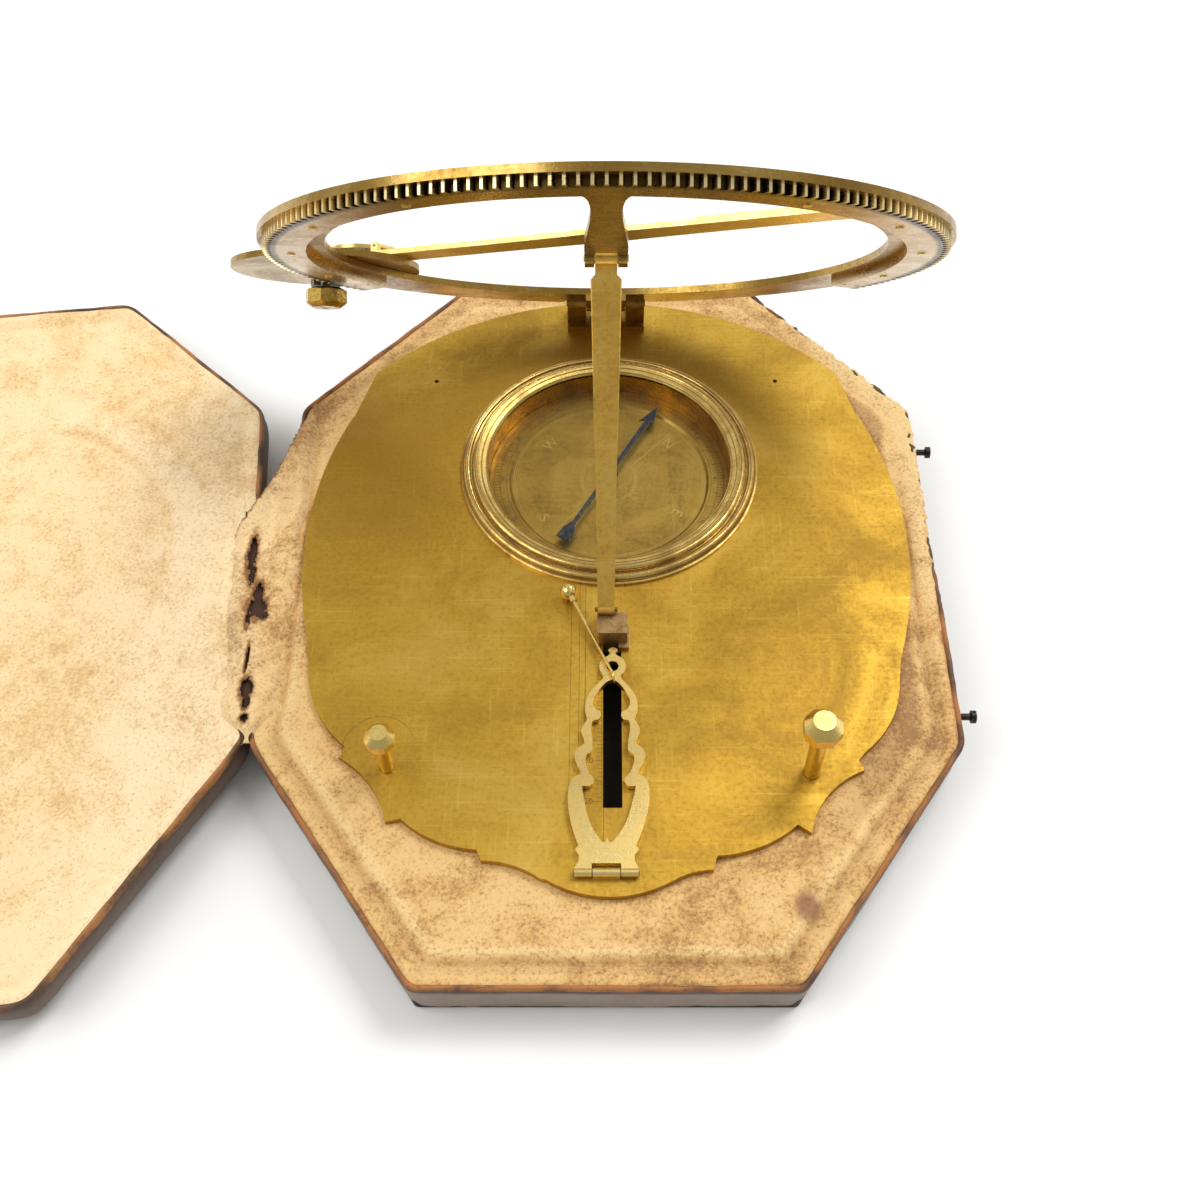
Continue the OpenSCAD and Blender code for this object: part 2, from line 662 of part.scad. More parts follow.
// Round folding vane with its pinhole, laid flat over the bar.
module noon_vane() {
    color(brass_pale) bar_place() translate([vane_out, 0, bar_top + vane_lift]) difference() {
        union() {
            translate([vane_r + 0.65, 0, -0.45]) cylinder(h = 0.9, r = vane_r, $fn = 72);
            translate([0, -1.9, -0.45]) cube([4, 3.8, 0.9]);
            translate([0, -2.2, 0]) rotate([-90, 0, 0]) cylinder(h = 4.4, r = 0.85);
        }
        translate([0, -3, 0]) rotate([-90, 0, 0]) cylinder(h = 6, r = 0.41);
        translate([vane_r + 0.65, 0, -2]) cylinder(h = 4, r = 0.5);
    }
}

// Second vane, folded back along the bar.
module far_vane() {
    color(brass_pale) bar_place() translate([-57, 0, bar_top + 0.35]) difference() {
        union() {
            translate([0, -3.4, -0.3]) cube([34, 6.8, 0.7]);
            translate([0, -3.4, 0.3]) rotate([-90, 0, 0]) cylinder(h = 6.8, r = 0.6);
        }
        translate([0, -5, 0.3]) rotate([-90, 0, 0]) cylinder(h = 10, r = 0.3);
        translate([8, -0.5, -2]) cube([22, 1, 4]);
    }
}

// Small lug on the plate for the bob bracket.
module bracket_lug() {
    color(brass) difference() {
        union() {
            translate([-2.9, bracket_y - 1.05, plate_top]) cube([5.8, 2.1, bracket_z - plate_top]);
            translate([-2.9, bracket_y, bracket_z]) rotate([0, 90, 0]) cylinder(h = 5.8, r = 1.05);
        }
        translate([-8, bracket_y, bracket_z]) rotate([0, 90, 0]) cylinder(h = 16, r = 0.5);
    }
}

// Pin of the bob bracket.
module bracket_pin() {
    color(steel) translate([-7.1, bracket_y, bracket_z]) rotate([0, 90, 0]) cylinder(h = 14.2, r = 0.5);
}

function bracket_outer() = concat(
    [[6.9, bracket_y], [6.8, -77.4], [6, -75.8], [6, -74.4], [6.9, -73.2]],
    smooth([[6.2, -72.2], [7.2, -69.6], [8.1, -66.6], [8.8, -63], [9, -59.8], [8.7, -57.4], [7.8, -55.7], [6.4, -55]], 3),
    smooth([[6.3, -54.4], [7.3, -52.6], [7.9, -50.6], [7.6, -48.9], [6.6, -47.9], [5.8, -47.3]], 3),
    smooth([[6.1, -45.8], [6.7, -43.9], [6.1, -42.3], [5.4, -41]], 3),
    smooth([[6, -38.9], [6, -36.8], [5.6, -35], [4.6, -33.2], [3.2, -31.4], [2.2, -30.1], [2, -29.3]], 3),
    arc(0, eye_y, 3.1, -50, 68, 12),
    smooth([[0.8, -23.5], [0.6, -23], [1.1, -22.4], [0.8, -21.8], [0, -21.4]], 4));
function bracket_inner() = concat(
    smooth([[0, -70.3], [0.35, -71.3], [0.9, -71.5], [1.7, -70.7], [3.2, -68.3], [4.4, -65.4], [5.2, -62.1], [5.8, -59.2]], 3),
    smooth([[5.9, -57.9], [4.4, -58], [3.5, -57.1], [3.5, -56], [4.5, -54.7], [5.3, -52.6], [5.5, -50.8]], 3),
    smooth([[5.2, -50], [4.3, -49.4], [4, -48.4], [4.1, -46], [4.4, -43.6], [4.3, -41.8]], 3),
    smooth([[3.9, -41.2], [2.8, -41], [2.3, -40], [2.5, -39], [3.5, -38.4], [4.2, -37.2], [4.2, -35.8], [3.5, -34.2],
        [2.2, -32.1], [1.1, -30.9], [0, -30.4]], 3));
function lean(pts) = [for (p = pts) [p[0] + (p[1] - bracket_y) * bracket_lean, p[1]]];

// Pierced bracket that carries the bob, folded flat on the plate.
module bob_bracket() {
    color(brass_pale) difference() {
        union() {
            translate([0, 0, bracket_low]) linear_extrude(height = bracket_thick) difference() {
                polygon(lean(concat(bracket_outer(), mirror_x(bracket_outer()))));
                polygon(lean(concat(bracket_inner(), mirror_x(bracket_inner()))));
                translate([eye_x, eye_y]) circle(r = 1.4);
                translate([-3.15, bracket_y - 3]) square([6.3, 5]);
            }
            for (s = [-1, 1]) translate([s * 5 - 1.85, bracket_y, bracket_z]) rotate([0, 90, 0]) cylinder(h = 3.7, r = 0.95);
        }
        translate([-8, bracket_y, bracket_z]) rotate([0, 90, 0]) cylinder(h = 16, r = 0.56);
    }
}

// Bob: wire loop round the bracket's crossbar, thin rod and ball.
module bob() {
    color(brass_pale) translate([bob_x, bob_y, bob_z]) rotate([0, 0, bob_angle / 2]) union() {
        rotate([0, 90, 0]) rotate_extrude($fn = 32) translate([1.75, 0]) circle(r = 0.25, $fn = 16);
        rotate([0, 0, bob_angle / 2]) translate([0, 0, 1.75]) rotate([-91.1, 0, 0]) {
            translate([0, 0, -0.3]) cylinder(h = bob_long + 0.2, r1 = 0.3, r2 = 0.42);
            translate([0, 0, bob_long - 3.4]) cylinder(h = 2.4, r = 0.8);
            translate([0, 0, bob_long]) sphere(r = ball_r);
        }
    }
}

module screw_head(w, h) {
    intersection() {
        rotate([0, 0, 22.5]) cylinder(h = h, r = w / 2 / cos(22.5), $fn = 8);
        union() {
            cylinder(h = h * 0.36, r1 = w * 0.34, r2 = w * 0.56);
            translate([0, 0, h * 0.36]) cylinder(h = h * 0.24, r = w * 0.56);
            translate([0, 0, h * 0.6]) cylinder(h = h * 0.4, r1 = w * 0.56, r2 = w * 0.3);
        }
    }
}

// Left levelling screw with its small eight-sided head.
module left_screw() {
    color(brass_pale) translate([left_at[0], left_at[1], 0]) {
        translate([0, 0, 5]) cylinder(h = plate_top + 5.8, r = 1.55);
        translate([0, 0, plate_top + 10.4]) screw_head(6.5, 5.4);
    }
}

// Right levelling screw, longer and with a larger head.
module right_screw() {
    color(brass_pale) translate([right_at[0], right_at[1], 0]) {
        translate([0, 0, 5]) cylinder(h = plate_top + 11.6, r = 1.95);
        translate([0, 0, plate_top + 16.2]) screw_head(8.2, 6.6);
    }
}

// Plain third foot under the hinge end of the plate.
module back_foot() {
    color(brass) translate([0, hinge_y - 12, 5]) cylinder(h = plate_low - 5, r = 2.2);
}

case_core();
case_leather();
case_lining();
spine_base();
hook_pins();
lid_core();
lid_leather();
lid_lining();
spine_lid();
lid_hook_front();
lid_hook_back();
base_plate();
compass_bowl();
compass_card();
compass_pivot();
compass_glass();
compass_bezel();
needle();
needle_cap();
hinge_block();
hinge_screws();
hinge_pin();
hour_ring();
gear_ring();
ring_leaf();
ring_rivets();
centre_pivot();
strut_pin();
strut();
foot_pin();
slider();
slider_clamp();
minute_dial();
index_bar();
bar_screws();
vane_post();
vane_pin();
far_pin();
pinion();
minute_hand();
knob();
noon_vane();
far_vane();
bracket_lug();
bracket_pin();
bob_bracket();
bob();
left_screw();
right_screw();
back_foot();
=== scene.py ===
"""Dresses the universal equatorial dial and its leather case for rendering."""

from __future__ import annotations

import json
import logging
import math
from dataclasses import dataclass, field
from enum import Enum
from typing import Callable, ClassVar, Sequence

import bmesh
import bpy
from mathutils import Matrix, Vector, noise

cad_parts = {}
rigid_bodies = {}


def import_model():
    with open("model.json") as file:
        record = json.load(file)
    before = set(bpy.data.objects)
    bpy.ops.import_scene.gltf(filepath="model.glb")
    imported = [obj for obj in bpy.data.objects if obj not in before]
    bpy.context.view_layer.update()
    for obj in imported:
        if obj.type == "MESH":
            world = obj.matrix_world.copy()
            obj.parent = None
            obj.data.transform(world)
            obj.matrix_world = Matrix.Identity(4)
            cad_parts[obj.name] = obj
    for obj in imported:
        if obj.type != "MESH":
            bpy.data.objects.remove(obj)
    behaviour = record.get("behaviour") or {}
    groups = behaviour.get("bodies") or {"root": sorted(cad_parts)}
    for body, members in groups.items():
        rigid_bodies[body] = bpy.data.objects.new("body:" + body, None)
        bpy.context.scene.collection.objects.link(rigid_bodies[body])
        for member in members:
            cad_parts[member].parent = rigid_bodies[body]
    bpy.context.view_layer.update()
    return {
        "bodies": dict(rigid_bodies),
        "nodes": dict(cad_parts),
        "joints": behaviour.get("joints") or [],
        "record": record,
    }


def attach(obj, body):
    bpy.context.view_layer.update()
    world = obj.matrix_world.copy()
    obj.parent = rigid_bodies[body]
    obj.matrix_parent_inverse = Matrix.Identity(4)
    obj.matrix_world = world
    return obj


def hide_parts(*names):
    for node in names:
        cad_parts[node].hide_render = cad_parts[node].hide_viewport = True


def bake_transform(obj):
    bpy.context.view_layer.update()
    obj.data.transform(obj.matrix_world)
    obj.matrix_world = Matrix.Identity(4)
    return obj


LOG = logging.getLogger("dial")
MM = 0.001
RGB = tuple[float, float, float]
Point = tuple[float, float, float]
Flat = tuple[float, float]
Marks = dict[str, list[float]]
Material = bpy.types.Material
Piece = bpy.types.Object


# Shader graphs


class Wire:
    """A node socket that can be used in arithmetic."""

    def __init__(self, graph: Graph, socket: bpy.types.NodeSocket) -> None:
        """Keeps the graph and the output socket."""
        self.graph = graph
        self.socket = socket

    def _math(self, operation: str, *values: Wire | float) -> Wire:
        """Adds one Math node."""
        return self.graph.add("ShaderNodeMath", {"operation": operation}, dict(enumerate(values)))

    def __add__(self, other: Wire | float) -> Wire:
        """Sum."""
        return self._math("ADD", self, other)

    __radd__ = __add__

    def __sub__(self, other: Wire | float) -> Wire:
        """Difference."""
        return self._math("SUBTRACT", self, other)

    def __rsub__(self, other: float) -> Wire:
        """Reflected difference."""
        return self._math("SUBTRACT", other, self)

    def __mul__(self, other: Wire | float) -> Wire:
        """Product."""
        return self._math("MULTIPLY", self, other)

    __rmul__ = __mul__

    def __truediv__(self, other: Wire | float) -> Wire:
        """Quotient."""
        return self._math("DIVIDE", self, other)

    def __rtruediv__(self, other: float) -> Wire:
        """Reflected quotient."""
        return self._math("DIVIDE", other, self)

    def __pow__(self, other: Wire | float) -> Wire:
        """Power."""
        return self._math("POWER", self, other)

    def __abs__(self) -> Wire:
        """Absolute value."""
        return self._math("ABSOLUTE", self)

    def most(self, other: Wire | float) -> Wire:
        """The larger of two values."""
        return self._math("MAXIMUM", self, other)

    def least(self, other: Wire | float) -> Wire:
        """The smaller of two values."""
        return self._math("MINIMUM", self, other)

    def part(self) -> Wire:
        """The fraction."""
        return self._math("FRACT", self)

    def rise(self, low: float, high: float) -> Wire:
        """Smooth step from 0 at low to 1 at high."""
        values = {"Value": self, "From Min": low, "From Max": high}
        return self.graph.add("ShaderNodeMapRange", {"interpolation_type": "SMOOTHSTEP"}, values)


class Graph:
    """The node tree of one material, with its Principled shader."""

    def __init__(self, name: str) -> None:
        """Starts an empty tree with a shader and an output.

        Args:
            name: Material name.
        """
        self.material = bpy.data.materials.new(name)
        self.material.use_nodes = True
        self.tree = self.material.node_tree
        self.tree.nodes.clear()
        self.shader = self.tree.nodes.new("ShaderNodeBsdfPrincipled")
        output = self.tree.nodes.new("ShaderNodeOutputMaterial")
        self.tree.links.new(self.shader.outputs[0], output.inputs[0])

    def plug(self, socket: bpy.types.NodeSocket, value: Wire | float | Sequence[float]) -> None:
        """Links a wire into a socket or writes a plain value on it.

        Args:
            socket: The socket to feed.
            value: What it gets.
        """
        if isinstance(value, Wire):
            self.tree.links.new(value.socket, socket)
        elif isinstance(value, (int, float)):
            socket.default_value = value
        else:
            socket.default_value = (*value, 1.0)[:len(socket.default_value)]

    def add(self, kind: str, settings: dict | None = None, sockets: dict | None = None,
            out: int | str = 0) -> Wire:
        """Adds one node.

        Args:
            kind: Node type.
            settings: Properties that are set before the sockets.
            sockets: Values or wires by socket name or index.
            out: The output that the wire holds.

        Returns:
            The wire of that output.
        """
        node = self.tree.nodes.new(kind)
        for key, value in (settings or {}).items():
            setattr(node, key, value)
        for key, value in (sockets or {}).items():
            self.plug(node.inputs[key], value)
        return Wire(self, node.outputs[out])

    def place(self, scale: Point = (1, 1, 1), shift: Point = (0, 0, 0)) -> Wire:
        """Object coordinates in millimetres, stretched and shifted.

        Args:
            scale: Stretch along each axis.
            shift: Shift in millimetres.

        Returns:
            The wire of the coordinates.
        """
        base = self.add("ShaderNodeTexCoord", out="Object")
        values = {"Vector": base, "Scale": tuple(s / MM for s in scale), "Location": shift}
        return self.add("ShaderNodeMapping", sockets=values)

    def axis(self, letter: str) -> Wire:
        """One object coordinate in millimetres."""
        return self.add("ShaderNodeSeparateXYZ", sockets={0: self.place()}, out=letter)

    def grain(self, size: float, detail: float = 4, rough: float = 0.55, at: Wire | None = None,
              twist: float = 0) -> Wire:
        """Noise whose features are about size millimetres wide.

        Args:
            size: Width of a feature in millimetres.
            detail: How many finer layers it has.
            rough: How strong the finer layers are.
            at: Coordinates, plain ones if None.
            twist: How much it is distorted.

        Returns:
            The wire of the noise.
        """
        values = {"Vector": at or self.place(), "Scale": 1 / size, "Detail": detail, "Roughness": rough,
                  "Distortion": twist}
        return self.add("ShaderNodeTexNoise", sockets=values)

    def blend(self, factor: Wire | float, low: Wire | RGB, high: Wire | RGB) -> Wire:
        """Mixes two colours."""
        return self.add("ShaderNodeMix", {"data_type": "RGBA"}, {0: factor, 6: low, 7: high}, out=2)

    def mark(self, name: str) -> Wire:
        """A value that the mesh carries at each of its points."""
        return self.add("ShaderNodeAttribute", {"attribute_name": name}, out="Fac")

    def bump(self, height: Wire, depth: float) -> None:
        """Feeds the shader's normal from a height in millimetres."""
        values = {"Height": height, "Strength": 1.0, "Distance": depth * MM}
        self.plug(self.shader.inputs["Normal"], self.add("ShaderNodeBump", sockets=values))

    def finish(self, **values: Wire | float | Sequence[float]) -> Material:
        """Sets the shader's sockets, written with underscores, and gives the material.

        Args:
            values: What each socket gets.

        Returns:
            The material.
        """
        for key, value in values.items():
            self.plug(self.shader.inputs[key.replace("_", " ")], value)
        return self.material


def shade(tone: RGB, share: float) -> RGB:
    """A tone with its light cut to a share."""
    return tuple(share * c for c in tone)


@dataclass(frozen=True)
class BrassFinish:
    """Old brass: satin metal with tarnish clouds, rubbed patches, specks and fine scratches."""

    tone: RGB
    brown: RGB
    bright: RGB
    rough: float = 0.3
    tarnish: float = 0.5
    rubbed: float = 0.4
    cloud: float = 26
    shift: float = 0
    turned: Point | None = None
    geared: tuple[float, float, float, float, float] | None = None

    def _grooves(self, g: Graph) -> Wire:
        """Fine turned lines round a centre on the plate.

        Args:
            g: The material's graph.

        Returns:
            The wire, 1 in a groove.
        """
        x, y, pitch = self.turned
        reach = ((g.axis("X") - x) ** 2 + (g.axis("Y") - y) ** 2) ** 0.5
        return abs((reach / pitch).part() * 2 - 1).rise(0.6, 0.95)

    def _gear(self, g: Graph, colour: Wire) -> Wire:
        """Painted side reflections, painted tip highlights and painted root shade on the tilted gear ring.

        Args:
            g: The material's graph.
            colour: The brass so far.

        Returns:
            The wire of the new colour.
        """
        y, z, tilt, low, high = self.geared
        c, s = math.cos(math.radians(tilt)), math.sin(math.radians(tilt))
        up = (g.axis("Y") - y) * c - (g.axis("Z") - z) * s
        reach = (g.axis("X") ** 2 + up * up) ** 0.5
        # Painted highlight on the tooth tips and painted shade at the tooth roots.
        painted_tip_highlights = reach.rise(low, high)
        painted_root_shade = (1 - painted_tip_highlights) * reach.rise(low - 2, low - 0.8)
        # Painted reflection: the ring's left and right sides are paled as if they mirrored the white floor.
        colour = g.blend(abs(g.axis("X")).rise(38, 62) * 0.85, colour, (0.74, 0.58, 0.36))
        colour = g.blend(painted_tip_highlights, colour, self.bright)
        return g.blend(painted_root_shade * 0.9, colour, shade(self.brown, 0.35))

    def make(self, name: str) -> Material:
        """Builds the material.

        Args:
            name: Material name.

        Returns:
            The material.
        """
        g = Graph(name)
        move = (self.shift, self.shift * 0.7, 0)
        where = g.place(shift=move)
        clouds = g.grain(self.cloud, 7, 0.66, where, 0.6)
        specks = g.grain(1.1, 6, 0.75, where)
        along = g.grain(1, 4, 0.65, g.place((0.05, 1.7, 0.6), move))
        across = g.grain(1, 4, 0.65, g.place((1.4, 0.06, 0.6), move))
        lines = (along.rise(0.5, 0.72) + across.rise(0.52, 0.76)) * 0.5
        worn = (along.rise(0.6, 0.75) + across.rise(0.62, 0.76)) * 0.5
        stain = (clouds + specks * 0.3 - lines * 0.08).rise(0.54, 0.86) * self.tarnish
        shine = (1 - clouds + lines * 0.16).rise(0.48, 0.8) * self.rubbed
        colour = g.blend(stain, self.tone, self.brown)
        colour = g.blend((shine + worn * 0.35).least(1), colour, self.bright)
        flecks = specks.rise(0.5, 0.66) * 0.3 + (1 - specks).rise(0.6, 0.7) * 0.1
        colour = g.blend(flecks, colour, self.brown)
        dots = g.grain(0.8, 3, 0.6, where).rise(0.68, 0.76) * 0.5 * self.tarnish
        colour = g.blend(dots, colour, shade(self.brown, 0.3))
        height = lines * 0.5 + specks * 0.5
        if self.turned:
            grooves = self._grooves(g)
            colour = g.blend(grooves * 0.7, colour, shade(self.brown, 0.6))
            height = height - grooves * 3
        if self.geared:
            colour = self._gear(g, colour)
        g.bump(height, 0.02)
        gloss = self.rough + stain * 0.22 + specks * 0.1 - shine * 0.08
        return g.finish(Base_Color=colour, Metallic=1 - stain * 0.25, Roughness=gloss)


@dataclass(frozen=True)
class SteelFinish:
    """Plain or blued steel."""

    tone: RGB
    worn: RGB
    rough: float = 0.32

    def make(self, name: str) -> Material:
        """Builds the material.

        Args:
            name: Material name.

        Returns:
            The material.
        """
        g = Graph(name)
        wear = g.grain(2.2, 5, 0.65).rise(0.5, 0.72)
        g.bump(g.grain(0.5, 3), 0.01)
        colour = g.blend(wear, self.tone, self.worn)
        return g.finish(Base_Color=colour, Metallic=1.0, Roughness=self.rough + wear * 0.2)


@dataclass(frozen=True)
class ChamoisFinish:
    """Napped lining leather with dirt, scuffs and pressed marks.

    The mesh's mark darkens it above zero and pales it below; it carries real dirt together with painted
    shade in creases and grooves and painted highlights on ridges and lips.
    """

    tone: RGB
    dirt: RGB
    pale: RGB
    stain: float
    spot: Point | None = None

    def make(self, name: str) -> Material:
        """Builds the material.

        Args:
            name: Material name.

        Returns:
            The material.
        """
        g = Graph(name)
        broad = g.grain(30, 5, 0.6, twist=0.8)
        patch = g.grain(6, 6, 0.68, twist=0.5)
        nap = g.grain(0.8, 6, 0.75)
        fibre = g.grain(0.4, 5, 0.75, g.place((1, 0.35, 1)))
        soil = g.mark("soil")
        # The positive mark adds real dirt and painted shade.
        soiled_and_shaded = (broad * 0.42 + patch * 0.3 + nap * 0.42).rise(0.53, 0.72) * self.stain + soil.most(0)
        soiled_and_shaded = soiled_and_shaded.least(1) * (nap * 1.1 + patch * 0.6 + 0.1)
        light = (1 - broad * 0.4 - patch * 0.3 - nap * 0.3 + fibre * 0.14).rise(0.44, 0.66) * 0.7
        # The negative mark pales it: real paler places together with painted highlights.
        light = (light + (0 - soil).most(0)).least(1)
        colour = g.blend(light, self.tone, self.pale)
        colour = g.blend(soiled_and_shaded.least(1), colour, self.dirt)
        specks = (nap.rise(0.52, 0.66) * 0.42 + fibre.rise(0.56, 0.68) * 0.4) * (self.stain * 0.5 + 0.5)
        colour = g.blend(specks, colour, shade(self.dirt, 0.6))
        if self.spot:
            x, y, size = self.spot
            away = ((g.axis("X") - x) ** 2 + ((g.axis("Y") - y) * 0.8) ** 2) ** 0.5 + patch * 4 - 2
            colour = g.blend((1 - away.rise(size * 0.3, size)) * 0.75, colour, (0.2, 0.06, 0.04))
        g.bump(nap * 0.7 + fibre * 0.6 + patch * 1.4, 0.2)
        return g.finish(Base_Color=colour, Roughness=0.92, Sheen_Weight=0.2, Specular_IOR_Level=0.15)


@dataclass(frozen=True)
class HideFinish:
    """Dark leather over board, scuffed grey on its walls and rubbed orange brown at its rim.

    The mesh's worn value marks the rim.
    """

    tone: RGB
    grey: RGB
    rubbed: RGB
    pale: float = 1.0

    def make(self, name: str) -> Material:
        """Builds the material.

        Args:
            name: Material name.

        Returns:
            The material.
        """
        g = Graph(name)
        grain = g.grain(1.4, 6, 0.7)
        scuff = g.grain(1, 5, 0.65, g.place((0.1, 0.1, 0.8)))
        upright = g.grain(1, 4, 0.6, g.place((0.3, 0.3, 0.05)))
        broad = g.grain(14, 4, 0.6)
        worn = g.mark("worn")
        walls = g.mark("wall") * (0.62 + broad * 0.5 + upright * 0.3 - scuff * 0.2) * self.pale
        colour = g.blend(walls.least(1), self.tone, self.grey)
        colour = g.blend(scuff.rise(0.58, 0.7) * 0.45, colour, self.tone)
        rim = (worn * (0.35 + broad * 0.7) + grain * 0.5 - 0.25).rise(0.25, 0.6) * worn.rise(0, 0.4)
        colour = g.blend(rim, colour, self.rubbed)
        dark = (scuff * 0.5 + grain * 0.5).rise(0.5, 0.62) * worn
        colour = g.blend(dark * 0.8, colour, shade(self.tone, 0.4))
        g.bump(grain * 0.7 + scuff * 0.6, 0.24)
        return g.finish(Base_Color=colour, Roughness=0.5 + grain * 0.25, Specular_IOR_Level=0.45)


@dataclass(frozen=True)
class PlainFinish:
    """One even finish, for unseen board, ink, and the leather under the torn spine, painted near black as
    painted shade.
    """

    tone: RGB
    rough: float = 0.8
    metal: float = 0.0

    def make(self, name: str) -> Material:
        """Builds the material.

        Args:
            name: Material name.

        Returns:
            The material.
        """
        g = Graph(name)
        colour = g.blend(g.grain(3, 5, 0.6).rise(0.35, 0.7), shade(self.tone, 0.75), self.tone)
        return g.finish(Base_Color=colour, Roughness=self.rough, Metallic=self.metal)


@dataclass(frozen=True)
class WindowFinish:
    """Clear old glass, faintly dusty."""

    tint: RGB = (0.97, 0.98, 0.97)

    def make(self, name: str) -> Material:
        """Builds the material.

        Args:
            name: Material name.

        Returns:
            The material.
        """
        g = Graph(name)
        dust = g.grain(3, 6, 0.7).rise(0.5, 0.8)
        return g.finish(Base_Color=self.tint, Roughness=0.02 + dust * 0.05, Transmission_Weight=1.0, IOR=1.3,
                        Alpha=0.09 + dust * 0.05)


class Finish(Enum):
    """The finishes that the pieces are made in."""

    PLATE = BrassFinish((0.54, 0.325, 0.043), (0.25, 0.135, 0.016), (0.79, 0.57, 0.16), 0.39, 0.6, 0.45, 34)
    BRASS = BrassFinish((0.62, 0.4, 0.085), (0.26, 0.14, 0.025), (0.84, 0.64, 0.24), 0.25, 0.5, 0.5, 14, 11)
    # A brighter copy of the brass for the strut: painted light for the light that its face catches.
    STRAP = BrassFinish((0.88, 0.54, 0.1), (0.34, 0.18, 0.03), (0.95, 0.72, 0.26), 0.25, 0.7, 0.5, 16, 17)
    PALE = BrassFinish((0.84, 0.63, 0.22), (0.5, 0.31, 0.08), (0.93, 0.79, 0.4), 0.24, 0.3, 0.5, 9, 31)
    BRIGHT = BrassFinish((0.84, 0.63, 0.2), (0.5, 0.32, 0.09), (0.95, 0.8, 0.42), 0.12, 0.3, 0.5, 5, 37)
    KNOB = BrassFinish((0.6, 0.4, 0.08), (0.14, 0.07, 0.015), (0.85, 0.66, 0.26), 0.14, 0.9, 0.5, 4, 41)
    DARK = BrassFinish((0.34, 0.19, 0.03), (0.1, 0.045, 0.008), (0.5, 0.33, 0.09), 0.26, 0.7, 0.3, 14, 47)
    GEAR = BrassFinish((0.31, 0.19, 0.038), (0.12, 0.06, 0.013), (0.9, 0.72, 0.36), 0.2, 0.5, 0.2, 9, 49,
                       geared=(42.09, 80.5, 51.33, 73.7, 74.9))
    RING = BrassFinish((0.42, 0.26, 0.055), (0.15, 0.075, 0.014), (0.8, 0.62, 0.3), 0.18, 0.7, 0.5, 26, 71)
    WORN = BrassFinish((0.4, 0.26, 0.11), (0.15, 0.09, 0.04), (0.56, 0.42, 0.22), 0.42, 0.7, 0.4, 3, 83)
    CARD = BrassFinish((0.39, 0.245, 0.045), (0.12, 0.07, 0.014), (0.52, 0.36, 0.1), 0.3, 0.7, 0.4, 12, 97)
    BOWL = BrassFinish((0.6, 0.33, 0.05), (0.12, 0.06, 0.012), (0.8, 0.5, 0.12), 0.22, 0.8, 0.4, 9, 53)
    BEZEL = BrassFinish((0.68, 0.46, 0.13), (0.26, 0.15, 0.045), (0.9, 0.72, 0.32), 0.22, 0.7, 0.5, 8, 61,
                        turned=(0.8, 35.9, 1.22))
    CUT = BrassFinish((0.52, 0.36, 0.1), (0.36, 0.22, 0.06), (0.78, 0.58, 0.2), 0.3, 0.4, 0.4, 3, 67)
    STEEL = SteelFinish((0.3, 0.27, 0.23), (0.12, 0.1, 0.08))
    BLACK = SteelFinish((0.035, 0.032, 0.028), (0.09, 0.08, 0.07), 0.4)
    BLUED = SteelFinish((0.045, 0.055, 0.075), (0.13, 0.13, 0.13), 0.24)
    LINING = ChamoisFinish((0.74, 0.42, 0.135), (0.36, 0.19, 0.075), (0.84, 0.59, 0.27), 0.8,
                           spot=(42.6, -85.0, 4.2))
    LID_LINING = ChamoisFinish((0.88, 0.62, 0.3), (0.58, 0.33, 0.12), (0.95, 0.75, 0.46), 0.5)
    SPINE = ChamoisFinish((0.76, 0.47, 0.18), (0.26, 0.11, 0.035), (0.9, 0.65, 0.34), 0.6)
    HIDE = HideFinish((0.075, 0.04, 0.024), (0.3, 0.235, 0.19), (0.38, 0.15, 0.04))
    LID_HIDE = HideFinish((0.075, 0.04, 0.022), (0.2, 0.15, 0.115), (0.4, 0.17, 0.05), 0.6)
    # Near black: painted shade for the gap under the spine's tears.
    TORN = PlainFinish((0.07, 0.028, 0.01))
    BOARD = PlainFinish((0.03, 0.018, 0.01))
    INK = PlainFinish((0.07, 0.042, 0.012), 0.5, 0.4)
    FAINT = PlainFinish((0.2, 0.12, 0.025), 0.5, 0.6)
    WINDOW = WindowFinish()


class Paints:
    """Makes each finish once."""

    def __init__(self) -> None:
        """Starts with none made."""
        self.made: dict[Finish, Material] = {}

    def __getitem__(self, finish: Finish) -> Material:
        """The material of a finish.

        Args:
            finish: Which finish.

        Returns:
            The material.
        """
        if finish not in self.made:
            self.made[finish] = finish.value.make("finish_" + finish.name.lower())
        return self.made[finish]


# Mesh helpers


def add_piece(name: str, points: Sequence[Point], faces: Sequence[Sequence[int]], material: Material,
              body: str | None, smooth: bool = True, marks: Marks | None = None) -> Piece:
    """Makes one mesh object from points in millimetres.

    Args:
        name: Object name.
        points: Corners in millimetres, in the part's frame. Those without a face are dropped.
        faces: Corner indices.
        material: Its finish.
        body: The body that it rides on, or None.
        smooth: Whether it is shaded smooth.
        marks: Values at the points that its finish reads, by name.

    Returns:
        The new object.
    """
    mesh = bpy.data.meshes.new(name)
    mesh.from_pydata([tuple(c * MM for c in p) for p in points], [], faces)
    for key, values in (marks or {}).items():
        mesh.attributes.new(key, "FLOAT", "POINT").data.foreach_set("value", values)
    work = bmesh.new()
    work.from_mesh(mesh)
    bmesh.ops.delete(work, geom=[v for v in work.verts if not v.link_faces], context="VERTS")
    bmesh.ops.recalc_face_normals(work, faces=work.faces)
    work.to_mesh(mesh)
    work.free()
    mesh.materials.append(material)
    mesh.polygons.foreach_set("use_smooth", [smooth] * len(mesh.polygons))
    thing = bpy.data.objects.new(name, mesh)
    bpy.context.scene.collection.objects.link(thing)
    if body:
        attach(thing, body)
    return thing


